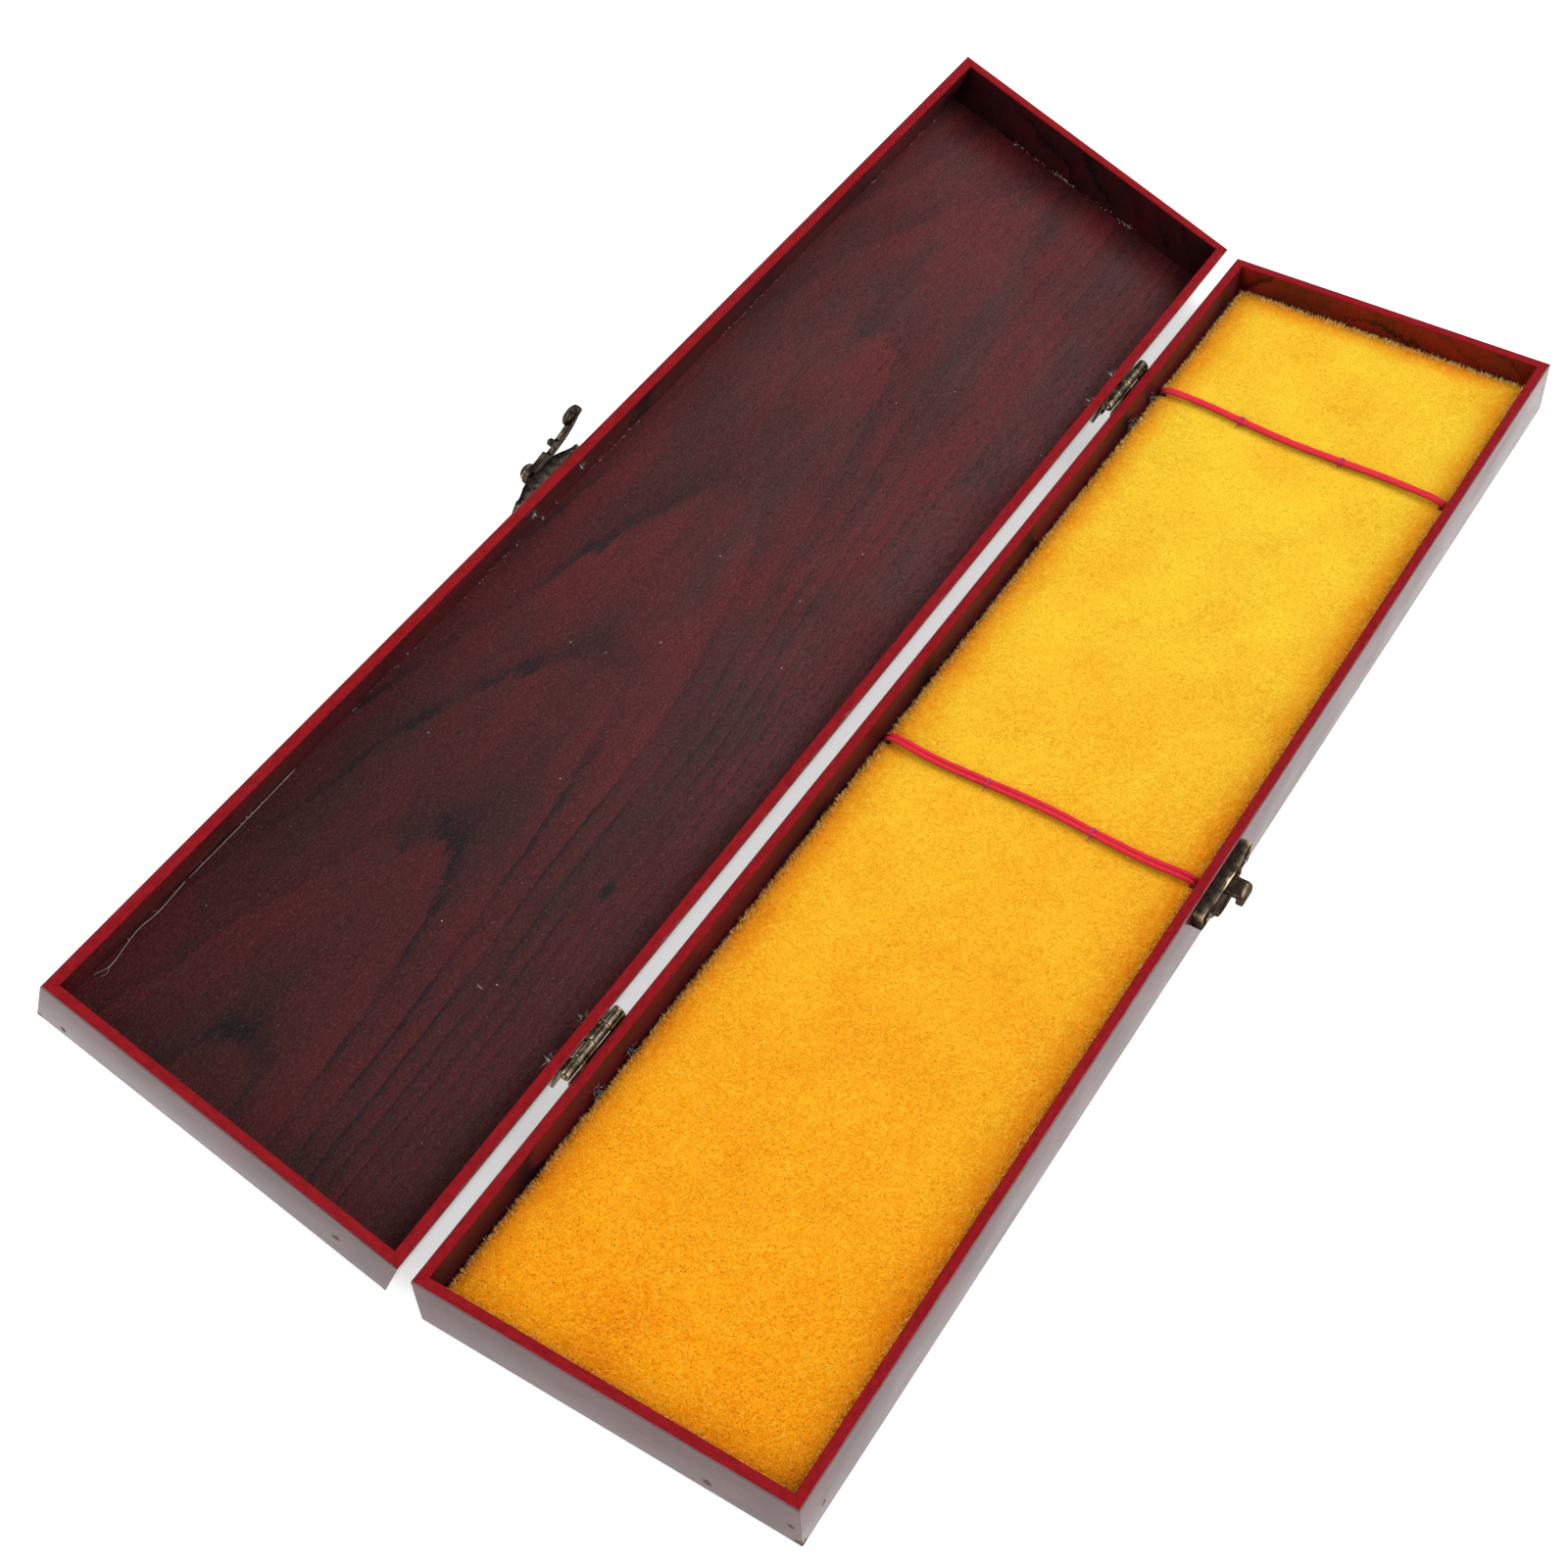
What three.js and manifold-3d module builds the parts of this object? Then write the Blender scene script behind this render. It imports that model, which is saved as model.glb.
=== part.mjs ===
import * as THREE from 'three';
import { mergeVertices } from 'three/addons/utils/BufferGeometryUtils.js';
import Module from 'manifold-3d';

const wasm = await Module();
wasm.setup();

// A shallow box for calligraphy brushes: two mitred trays hinged along one long side.
// Millimetres. +Z is up, +Y runs along the box, +X points from the hinges to the catch.
// The origin is the centre of the base tray's underside.

// Trays
const boxLength = 330;
const boxWidth = 81;
const baseHeight = 14;
const lidHeight = 13.7;
const wallThickness = 2.4;
const basePanelThickness = 2;
const lidPanelThickness = 1.8;
const glueGap = 0.1;
const rimGap = 0.3;
const openAngle = 157;

// Lining of the base
const nailLiningGap = 0.18;
const boardEdgeGap = 0.3;
const plushThickness = 2;
const plushEdgeGap = 1.2;

// Elastic cords over the plush, and the stitches that hold them down
const cordRadius = 0.9;
const cordSeatGap = 0.2;
const cordNotchGap = 0.3;
const cordBend = 1.17;
const cordSteps = 56;
const cordSides = 8;
const threadRadius = 0.25;
const threadGap = 0.1;
const threadSteps = 12;
const threadSides = 6;

// Where each cord leaves the hinge side and the catch side, its stitches, and how far it
// wanders sideways half way between them
const cords = [
  { name: 'near', hingeY: -9.6, catchY: -11.7, stitches: [-11.7, 12.8], bows: [-0.5, 0.4, -0.4] },
  { name: 'far', hingeY: 117.5, catchY: 113.7, stitches: [-15.6, 10.4], bows: [0.5, -0.6, 0.5] },
];

// Butt hinges
const hingeLength = 18;
const hingeInset = 57;
const knuckleCount = 4;
const knuckleGap = 0.2;
const knuckleRadius = 1.15;
const pinRadius = 0.5;
const pinOverhang = 0.2;
const runningClearance = 0.1;
const knuckleWallGap = 0.3;
const hingeAxisRise = 0.7;
const leafThickness = 0.6;
const leafHeight = 7.8;
const leafCorner = 0.8;
const leafNailDrop = 5.8;
const leafNailInset = 3.5;
const leafSweepGap = 0.2;

// Nails
const nailRadius = 0.42;
const nailHeadRadius = 1;
const nailHeadThickness = 0.45;
const nailCrownRadius = 0.7;
const nailCrownHeight = 0.36;
const nailPoint = 1.2;
const nailHoleGap = 0.15;
const hingeNailShow = 2;
const panNailShow = 1.2;

// Stamped pans of the catch and the latch
const latchStation = -11.6;
const panDepth = 2.8;
const panSheet = 0.6;
const panLength = 22;
const panEndHeight = 4.6;
const panMiddleHeight = 8.4;
const panLobeHalfWidth = 4.2;
const panShoulder = 2.2;
const panCorner = 1.2;
const panNailInset = 2.6;
const catchPanDrop = 0.6;
const latchPanRise = 0.9;

// Keeper lug on the catch
const keeperWidth = 4.6;
const keeperSheet = 0.8;
const keeperHeight = 2.6;
const keeperDrop = 1.2;
const keeperLipGap = 0.75;

// Swing hook and its rivet
const hookPivotRise = 4.5;
const hookReach = 17.8;
const hookThickness = 1.2;
const hookStandOff = 0.75;
const hookEyeRadius = 2.4;
const hookEyeStart = -27;
const hookEyeEnd = 216;
const hookWebWidth = 2.6;
const hookNeckHalfWidth = 1.3;
const clawThickness = 1.7;
const clawOverhang = 0.2;
const clawBallRadius = 0.9;
const hookShoulderGap = 0.4;
const hookClawGap = 0.15;
const hookSideGap = 0.3;
const knobRadius = 1.8;
const knobThickness = 3;
const knobLength = 5.2;
const hookRestAngle = 51.4;
const rivetRadius = 0.8;
const rivetHeadRadius = 2;
const rivetHeadHeight = 1;
const rivetTailRadius = 1.3;
const rivetTailHeight = 0.7;
const rivetHeadGap = 0.15;

// Facets of small round pieces
const roundSides = 20;
const nailSides = 10;

const halfLength = boxLength / 2;
const halfWidth = boxWidth / 2;
const innerHalfLength = halfLength - wallThickness;
const innerHalfWidth = halfWidth - wallThickness;
const lidRim = baseHeight + rimGap;
const lidTop = lidRim + lidHeight;
const hingeAxisOut = knuckleRadius + knuckleWallGap;
const axisX = -halfWidth - hingeAxisOut;
const axisZ = baseHeight + hingeAxisRise;
const nailHoleRadius = nailRadius + nailHoleGap;
const leafNailReach = hingeLength / 2 - leafNailInset;
const panNailReach = panLength / 2 - panNailInset;

// The hinge nails come through the wall just above the lining, and the board under it fills what is left
const plushTop = axisZ - leafNailDrop - nailRadius - nailLiningGap;
const plushBottom = plushTop - plushThickness;
const boardBottom = basePanelThickness + glueGap;
const boardThickness = plushBottom - glueGap - boardBottom;
const cordLevel = plushTop + cordSeatGap + cordRadius;
const cordLegX = innerHalfWidth - cordNotchGap - cordRadius;

// The keeper's lip hangs in front of the claw
const hookBack = panDepth + hookStandOff;
const keeperReach = hookBack + 2 * clawBallRadius + keeperLipGap + keeperSheet;

// The claw passes under the keeper on an arc about the pivot, so it clears the keeper's lower corner
const keeperBelowPivot = hookPivotRise + rimGap + keeperDrop;
const keeperCornerReach = Math.hypot(keeperWidth / 2, keeperBelowPivot + keeperSheet);
const clawTop = -(keeperCornerReach + hookClawGap);
const clawEnd = -(keeperWidth / 2 + clawOverhang);

const finishes = {
  film: { color: 0x3a1518, roughness: 0.3, metalness: 0 },
  panel: { color: 0x4a1f20, roughness: 0.35, metalness: 0 },
  board: { color: 0x8a8378, roughness: 0.9, metalness: 0 },
  plush: { color: 0xffa414, roughness: 1, metalness: 0 },
  elastic: { color: 0xd01030, roughness: 0.7, metalness: 0 },
  thread: { color: 0xc81e5a, roughness: 0.8, metalness: 0 },
  bronze: { color: 0x4b3f2c, roughness: 0.4, metalness: 1 },
  brass: { color: 0xb89a5a, roughness: 0.35, metalness: 1 },
  steel: { color: 0xb8b8b4, roughness: 0.3, metalness: 1 },
};

function addPiece(parent, name, geometry, finish) {
  const piece = new THREE.Mesh(geometry, new THREE.MeshStandardMaterial(finishes[finish]));
  piece.name = name;
  parent.add(piece);
  return piece;
}

function toSolid(geometry) {
  const bare = geometry.clone();
  bare.deleteAttribute('normal');
  bare.deleteAttribute('uv');
  const merged = mergeVertices(bare, 1e-4);
  return new wasm.Manifold(new wasm.Mesh({
    numProp: 3,
    vertProperties: new Float32Array(merged.attributes.position.array),
    triVerts: new Uint32Array(merged.index.array),
  }));
}

function toGeometry(solid) {
  const mesh = solid.getMesh();
  const geometry = new THREE.BufferGeometry();
  geometry.setAttribute('position', new THREE.BufferAttribute(mesh.vertProperties, 3));
  geometry.setIndex(new THREE.BufferAttribute(mesh.triVerts, 1));
  geometry.computeVertexNormals();
  return geometry;
}

// Joins geometries into one solid, then cuts others out of it
function combine(joined, cut = []) {
  let solid = toSolid(joined[0]);
  for (const geometry of joined.slice(1)) {
    solid = solid.add(toSolid(geometry));
  }
  for (const geometry of cut) {
    solid = solid.subtract(toSolid(geometry));
  }
  return toGeometry(solid);
}

function extrude(shape, depth, curveSegments = 6) {
  return new THREE.ExtrudeGeometry(shape, { depth, bevelEnabled: false, curveSegments });
}

// Turns a drawing in the XY plane so that it stands in the YZ plane and grows towards +X
function standAcrossX(geometry) {
  const basis = new THREE.Matrix4();
  basis.makeBasis(new THREE.Vector3(0, 1, 0), new THREE.Vector3(0, 0, 1), new THREE.Vector3(1, 0, 0));
  return geometry.applyMatrix4(basis);
}

// Turns a drawing in the XY plane so that it stands in the XZ plane, centred on its depth along Y
function standAcrossY(geometry, depth) {
  const basis = new THREE.Matrix4();
  basis.makeBasis(new THREE.Vector3(1, 0, 0), new THREE.Vector3(0, 0, 1), new THREE.Vector3(0, -1, 0));
  return geometry.applyMatrix4(basis).translate(0, depth / 2, 0);
}

function drillX(radius, fromX, toX, y, z, sides = nailSides) {
  const drill = new THREE.CylinderGeometry(radius, radius, toX - fromX, sides);
  return drill.rotateZ(Math.PI / 2).translate((fromX + toX) / 2, y, z);
}

// Walls of a tray

// One wall of a tray, lying along X with its outer face at -offset, its ends cut at 45 degrees
function mitredWall(span, offset, height) {
  const outerEnd = span / 2 - glueGap / Math.SQRT2;
  const innerEnd = outerEnd - wallThickness;
  const plan = new THREE.Shape();
  plan.moveTo(-outerEnd, -offset);
  plan.lineTo(outerEnd, -offset);
  plan.lineTo(innerEnd, wallThickness - offset);
  plan.lineTo(-innerEnd, wallThickness - offset);
  plan.closePath();
  return extrude(plan, height);
}

function addTrayWalls(parent, tray, frontSide, bottom, height, hingeHoles, frontHoles) {
  const sides = [
    { side: 'near_end', turn: 0, span: boxWidth, offset: halfLength, holes: [] },
    { side: frontSide, turn: 0.5, span: boxLength, offset: halfWidth, holes: frontHoles, sign: 1 },
    { side: 'far_end', turn: 1, span: boxWidth, offset: halfLength, holes: [] },
    { side: 'hinge', turn: -0.5, span: boxLength, offset: halfWidth, holes: hingeHoles, sign: -1 },
  ];
  for (const { side, turn, span, offset, holes, sign } of sides) {
    const wall = mitredWall(span, offset, height).rotateZ(turn * Math.PI).translate(0, 0, bottom);
    const drills = holes.map(({ y, z }) => {
      const middle = sign * (halfWidth - wallThickness / 2);
      return drillX(nailHoleRadius, middle - wallThickness, middle + wallThickness, y, z);
    });
    addPiece(parent, `${tray}_${side}_wall`, combine([wall], drills), 'film');
  }
}

function panelGeometry(thickness) {
  const width = 2 * (innerHalfWidth - glueGap);
  const length = 2 * (innerHalfLength - glueGap);
  return new THREE.BoxGeometry(width, length, thickness);
}

// Lining and cords

// Rectangle inside the walls, with a notch at its edge wherever a cord goes down
function liningOutline(edgeGap) {
  const halfX = innerHalfWidth - edgeGap;
  const halfY = innerHalfLength - edgeGap;
  const notchX = cordLegX - cordRadius - cordNotchGap;
  const notchHalf = cordRadius + cordNotchGap;
  const outline = new THREE.Shape();
  const addNotch = (side, y) => {
    outline.lineTo(side * halfX, y - side * notchHalf);
    outline.lineTo(side * notchX, y - side * notchHalf);
    outline.lineTo(side * notchX, y + side * notchHalf);
    outline.lineTo(side * halfX, y + side * notchHalf);
  };
  outline.moveTo(-halfX, -halfY);
  outline.lineTo(halfX, -halfY);
  for (const cord of cords) {
    addNotch(1, cord.catchY);
  }
  outline.lineTo(halfX, halfY);
  outline.lineTo(-halfX, halfY);
  for (const cord of cords.toReversed()) {
    addNotch(-1, cord.hingeY);
  }
  outline.closePath();
  return outline;
}

function cordYAt(cord, x) {
  const share = (x + cordLegX) / (2 * cordLegX);
  return cord.hingeY + share * (cord.catchY - cord.hingeY);
}

// The cord comes up beside the plush, crosses it from stitch to stitch and goes down again
function cordRoute(cord) {
  const legBottom = basePanelThickness + cordNotchGap;
  const anchors = [-cordLegX, ...cord.stitches, cordLegX];
  const points = [
    new THREE.Vector3(-cordLegX, cord.hingeY, legBottom),
    new THREE.Vector3(-cordLegX, cord.hingeY, cordLevel - 3 * cordBend),
    new THREE.Vector3(-cordLegX, cord.hingeY, cordLevel - cordBend),
    new THREE.Vector3(cordBend - cordLegX, cord.hingeY, cordLevel),
  ];
  cord.bows.forEach((bow, i) => {
    const middle = (anchors[i] + anchors[i + 1]) / 2;
    points.push(new THREE.Vector3(middle, cordYAt(cord, middle) + bow, cordLevel));
    if (i < cord.stitches.length) {
      const stitch = cord.stitches[i];
      points.push(new THREE.Vector3(stitch, cordYAt(cord, stitch), cordLevel));
    }
  });
  points.push(
    new THREE.Vector3(cordLegX - cordBend, cord.catchY, cordLevel),
    new THREE.Vector3(cordLegX, cord.catchY, cordLevel - cordBend),
    new THREE.Vector3(cordLegX, cord.catchY, cordLevel - 3 * cordBend),
    new THREE.Vector3(cordLegX, cord.catchY, legBottom),
  );
  return new THREE.CatmullRomCurve3(points, false, 'centripetal');
}

function tubeAlong(route, radius, steps, sides) {
  const section = new THREE.Shape();
  for (let i = 0; i < sides; i += 1) {
    const angle = (2 * Math.PI * i) / sides;
    section[i ? 'lineTo' : 'moveTo'](radius * Math.cos(angle), radius * Math.sin(angle));
  }
  section.closePath();
  return new THREE.ExtrudeGeometry(section, { steps, bevelEnabled: false, extrudePath: route });
}

// A loop of thread over the cord, its feet on the plush
function stitchGeometry() {
  const rise = cordRadius + threadGap + threadRadius;
  const foot = plushTop + threadGap - cordLevel;
  const points = [new THREE.Vector3(0, -rise, foot)];
  for (let i = 0; i <= 6; i += 1) {
    const angle = (Math.PI * i) / 6;
    points.push(new THREE.Vector3(0, -rise * Math.cos(angle), rise * Math.sin(angle)));
  }
  points.push(new THREE.Vector3(0, rise, foot));
  const route = new THREE.CatmullRomCurve3(points, false, 'centripetal');
  return tubeAlong(route, threadRadius, threadSteps, threadSides);
}

// Nails

// Drawn about the Y axis with the head's underside at zero, then laid along X.
// The point faces towards +X or, with direction -1, towards -X.
function nailGeometry(shankLength, direction) {
  const profile = [
    new THREE.Vector2(0, -nailHeadThickness),
    new THREE.Vector2(nailCrownRadius, -nailCrownHeight),
    new THREE.Vector2(nailHeadRadius, 0),
    new THREE.Vector2(nailRadius, 0),
    new THREE.Vector2(nailRadius, shankLength - nailPoint),
    new THREE.Vector2(0, shankLength),
  ];
  return new THREE.LatheGeometry(profile, nailSides).rotateZ(-direction * Math.PI / 2);
}

function addNail(parent, name, side, seat, show, y, z) {
  const nail = addPiece(parent, name, nailGeometry(seat + wallThickness + show, -side), 'steel');
  nail.position.set(side * (halfWidth + seat), y, z);
}

// Hinges

function hingeNailPlaces(z) {
  const places = [];
  for (const end of [-1, 1]) {
    for (const side of [-1, 1]) {
      places.push({ y: end * (halfLength - hingeInset) + side * leafNailReach, z });
    }
  }
  return places;
}

// A leaf on the back face of a wall, with its share of the knuckles rolled round the pin.
// It is drawn about the hinge axis. The base leaf hangs down, the lid leaf stands up.
function leafGeometry(direction, firstKnuckle) {
  const pitch = hingeLength / knuckleCount;
  const sweepTop = -(knuckleRadius + leafSweepGap);
  const inner = hingeAxisOut - glueGap;
  const half = hingeLength / 2;
  const outline = new THREE.Shape();
  outline.moveTo(-half, -(leafHeight - leafCorner));
  outline.quadraticCurveTo(-half, -leafHeight, leafCorner - half, -leafHeight);
  outline.lineTo(half - leafCorner, -leafHeight);
  outline.quadraticCurveTo(half, -leafHeight, half, -(leafHeight - leafCorner));
  const rings = [];
  for (let i = 0; i < knuckleCount; i += 1) {
    const high = half - i * pitch;
    const own = i % 2 === firstKnuckle;
    const top = own ? 0 : sweepTop;
    const trim = own ? knuckleGap / 2 : -knuckleGap / 2;
    outline.lineTo(i ? high - trim : half, top);
    outline.lineTo(i < knuckleCount - 1 ? high - pitch + trim : -half, top);
    if (own) {
      const ring = new THREE.Shape();
      ring.absarc(0, 0, knuckleRadius, 0, 2 * Math.PI);
      const bore = new THREE.Path();
      bore.absarc(0, 0, pinRadius + runningClearance, 0, 2 * Math.PI);
      ring.holes.push(bore);
      const length = pitch - knuckleGap;
      const barrel = standAcrossY(extrude(ring, length, roundSides / 2), length);
      rings.push(barrel.translate(0, high - pitch / 2, 0));
    }
  }
  outline.closePath();
  const plate = standAcrossX(extrude(outline, leafThickness)).translate(inner - leafThickness, 0, 0);
  const drills = [-1, 1].map((side) => {
    const y = side * leafNailReach;
    return drillX(nailHoleRadius, inner - 2 * leafThickness, inner + leafThickness, y, -leafNailDrop);
  });
  const leaf = combine([plate, ...rings], drills);
  return direction < 0 ? leaf : mirrorZ(leaf);
}

// Mirrors a geometry in the XY plane, keeping its faces pointing out
function mirrorZ(geometry) {
  geometry.scale(1, 1, -1);
  const index = geometry.index.array;
  for (let i = 0; i < index.length; i += 3) {
    [index[i], index[i + 1]] = [index[i + 1], index[i]];
  }
  geometry.computeVertexNormals();
  return geometry;
}

function pinGeometry() {
  const half = hingeLength / 2 + pinOverhang;
  const profile = [
    new THREE.Vector2(0, -half),
    new THREE.Vector2(0.7 * pinRadius, -half),
    new THREE.Vector2(pinRadius, -half + 0.3 * pinRadius),
    new THREE.Vector2(pinRadius, half - 0.3 * pinRadius),
    new THREE.Vector2(0.7 * pinRadius, half),
    new THREE.Vector2(0, half),
  ];
  return new THREE.LatheGeometry(profile, nailSides);
}

// Adds the leaves of both hinges to one tray
function addLeaves(parent, tray, direction, firstKnuckle) {
  const leafSeat = glueGap + leafThickness + glueGap;
  const nailZ = axisZ + direction * leafNailDrop;
  const nails = hingeNailPlaces(nailZ);
  ['near', 'far'].forEach((end, e) => {
    const centre = (e ? 1 : -1) * (halfLength - hingeInset);
    const geometry = leafGeometry(direction, firstKnuckle);
    const leaf = addPiece(parent, `hinge_${end}_${tray}_leaf`, geometry, 'brass');
    leaf.position.set(axisX, centre, axisZ);
    nails.slice(2 * e, 2 * e + 2).forEach(({ y, z }, i) => {
      addNail(parent, `hinge_${end}_${tray}_nail_${i + 1}`, -1, leafSeat, hingeNailShow, y, z);
    });
  });
}

// Stamped pans

// Outline of a pan in the YZ plane, hanging from its straight edge at zero. The long edge below is
// drawn in from both ends and swells into a lobe in the middle.
function panOutline(inset) {
  const end = panLength / 2 - inset;
  const endLow = -(panEndHeight - inset);
  const middleLow = -(panMiddleHeight - inset);
  const lobe = panLobeHalfWidth - inset;
  const outline = new THREE.Shape();
  outline.moveTo(end, -inset);
  outline.lineTo(-end, -inset);
  outline.lineTo(-end, endLow + panCorner);
  outline.quadraticCurveTo(-end, endLow, panCorner - end, endLow);
  outline.lineTo(-lobe - panShoulder, endLow);
  outline.quadraticCurveTo(-lobe, endLow, -lobe, (endLow + middleLow) / 2);
  outline.quadraticCurveTo(-lobe, middleLow, 0, middleLow);
  outline.quadraticCurveTo(lobe, middleLow, lobe, (endLow + middleLow) / 2);
  outline.quadraticCurveTo(lobe, endLow, lobe + panShoulder, endLow);
  outline.lineTo(end - panCorner, endLow);
  outline.quadraticCurveTo(end, endLow, end, endLow + panCorner);
  outline.closePath();
  return outline;
}

function panParts() {
  const outer = standAcrossX(extrude(panOutline(0), panDepth - glueGap)).translate(glueGap, 0, 0);
  const hollow = standAcrossX(extrude(panOutline(panSheet), panDepth - panSheet));
  const drills = [-1, 1].map((side) => {
    return drillX(nailHoleRadius, 0, 2 * panDepth, side * panNailReach, -panEndHeight / 2);
  });
  return { outer, cuts: [hollow, ...drills] };
}

// The lug stands out from the pan and turns down at its lip, so a claw can slide in under it
function keeperGeometry() {
  const top = catchPanDrop - keeperDrop;
  const start = panDepth - panSheet / 2;
  const profile = new THREE.Shape();
  profile.moveTo(start, top);
  profile.lineTo(start, top - keeperSheet);
  profile.lineTo(keeperReach - keeperSheet, top - keeperSheet);
  profile.lineTo(keeperReach - keeperSheet, top - keeperHeight);
  profile.lineTo(keeperReach, top - keeperHeight);
  profile.lineTo(keeperReach, top - keeperSheet);
  profile.quadraticCurveTo(keeperReach, top, keeperReach - keeperSheet, top);
  profile.closePath();
  return standAcrossY(extrude(profile, keeperWidth), keeperWidth);
}

function panNailPlaces(z) {
  return [-1, 1].map((side) => ({ y: latchStation + side * panNailReach, z }));
}

function addPanNails(parent, name, z) {
  const panSeat = panDepth + glueGap;
  panNailPlaces(z).forEach(({ y }, i) => {
    addNail(parent, `${name}_nail_${i ? 'far' : 'near'}`, 1, panSeat, panNailShow, y, z);
  });
}

// Swing hook

// Drawn locked, hanging down from its eye at the origin. The keeper's top goes into the notch between
// the shoulder and the claw, and the web passes beside the keeper.
function hookOutline() {
  const shoulder = hookShoulderGap - keeperBelowPivot;
  const clawLow = clawTop - clawThickness;
  const webInner = keeperWidth / 2 + hookSideGap;
  const webOuter = webInner + hookWebWidth;
  const knobCentre = knobRadius - hookReach;
  const outline = new THREE.Shape();
  const eyeStart = THREE.MathUtils.degToRad(hookEyeStart);
  outline.absarc(0, 0, hookEyeRadius, eyeStart, THREE.MathUtils.degToRad(hookEyeEnd));
  outline.quadraticCurveTo(-hookNeckHalfWidth, 0.5 * shoulder, -hookNeckHalfWidth, shoulder);
  outline.lineTo(webInner, shoulder);
  outline.lineTo(webInner, clawTop);
  outline.lineTo(clawEnd, clawTop);
  outline.absarc(clawEnd, clawTop - clawThickness / 2, clawThickness / 2, 0.5 * Math.PI, 1.5 * Math.PI);
  const stemMiddle = (clawLow + knobCentre) / 2;
  outline.lineTo(webInner - hookWebWidth / 2, clawLow);
  outline.quadraticCurveTo(webInner - hookWebWidth / 2, stemMiddle, -0.7 * knobRadius, knobCentre);
  outline.absarc(0, knobCentre, knobRadius, Math.PI, 2 * Math.PI);
  outline.quadraticCurveTo(webOuter, stemMiddle, webOuter, clawLow);
  outline.lineTo(webOuter, shoulder);
  const eyeX = hookEyeRadius * Math.cos(eyeStart);
  const eyeY = hookEyeRadius * Math.sin(eyeStart);
  outline.quadraticCurveTo(webOuter, 0.5 * shoulder, eyeX, eyeY);
  return outline;
}

function hookGeometry() {
  const clawCentre = clawTop - clawThickness / 2;
  const plate = standAcrossX(extrude(hookOutline(), hookThickness));
  const ball = new THREE.SphereGeometry(clawBallRadius, 10, 8).translate(clawBallRadius, clawEnd, clawCentre);
  const knob = new THREE.SphereGeometry(1, 12, 10);
  knob.scale(knobThickness / 2, knobRadius, knobLength / 2);
  knob.translate(knobThickness / 2, 0, knobLength / 2 - hookReach);
  const eye = drillX(rivetRadius + runningClearance, -hookThickness, 2 * hookThickness, 0, 0, roundSides);
  return combine([plate, ball, knob], [eye]);
}

// Turned about Y and then laid along X. Zero is the outer face of the wall.
function rivetGeometry() {
  const tailTop = panDepth - panSheet - rivetHeadGap;
  const headBottom = hookBack + hookThickness + rivetHeadGap;
  const profile = [
    new THREE.Vector2(0, tailTop - rivetTailHeight),
    new THREE.Vector2(rivetTailRadius, tailTop - rivetTailHeight),
    new THREE.Vector2(rivetTailRadius, tailTop),
    new THREE.Vector2(rivetRadius, tailTop),
    new THREE.Vector2(rivetRadius, headBottom),
    new THREE.Vector2(rivetHeadRadius, headBottom),
  ];
  for (let i = 1; i <= 4; i += 1) {
    const angle = (Math.PI * i) / 8;
    const radius = i < 4 ? rivetHeadRadius * Math.cos(angle) : 0;
    profile.push(new THREE.Vector2(radius, headBottom + rivetHeadHeight * Math.sin(angle)));
  }
  return new THREE.LatheGeometry(profile, roundSides).rotateZ(-Math.PI / 2);
}

// Base tray

function buildBase() {
  const base = new THREE.Group();
  const catchNailZ = baseHeight - catchPanDrop - panEndHeight / 2;
  const hingeHoles = hingeNailPlaces(axisZ - leafNailDrop);
  addTrayWalls(base, 'base', 'catch', 0, baseHeight, hingeHoles, panNailPlaces(catchNailZ));
  const panel = addPiece(base, 'base_bottom_panel', panelGeometry(basePanelThickness), 'panel');
  panel.position.z = basePanelThickness / 2;

  const board = addPiece(base, 'lining_board', extrude(liningOutline(boardEdgeGap), boardThickness), 'board');
  board.position.z = boardBottom;
  const plush = addPiece(base, 'plush_lining', extrude(liningOutline(plushEdgeGap), plushThickness), 'plush');
  plush.position.z = plushBottom;
  for (const cord of cords) {
    const tube = tubeAlong(cordRoute(cord), cordRadius, cordSteps, cordSides);
    addPiece(base, `elastic_cord_${cord.name}`, tube, 'elastic');
    cord.stitches.forEach((x, i) => {
      const stitch = addPiece(base, `cord_stitch_${cord.name}_${i + 1}`, stitchGeometry(), 'thread');
      stitch.position.set(x, cordYAt(cord, x), cordLevel);
    });
  }

  addLeaves(base, 'base', -1, 0);
  for (const [end, side] of [['near', -1], ['far', 1]]) {
    const pin = addPiece(base, `hinge_${end}_pin`, pinGeometry(), 'brass');
    pin.position.set(axisX, side * (halfLength - hingeInset), axisZ);
  }

  const pan = panParts();
  const catchBody = combine([pan.outer, keeperGeometry()], pan.cuts);
  const catchPlate = addPiece(base, 'catch_plate', catchBody, 'bronze');
  catchPlate.position.set(halfWidth, latchStation, baseHeight - catchPanDrop);
  addPanNails(base, 'catch', catchNailZ);
  return base;
}

// Lid tray, drawn shut on the base and then opened about the hinge axis

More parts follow.
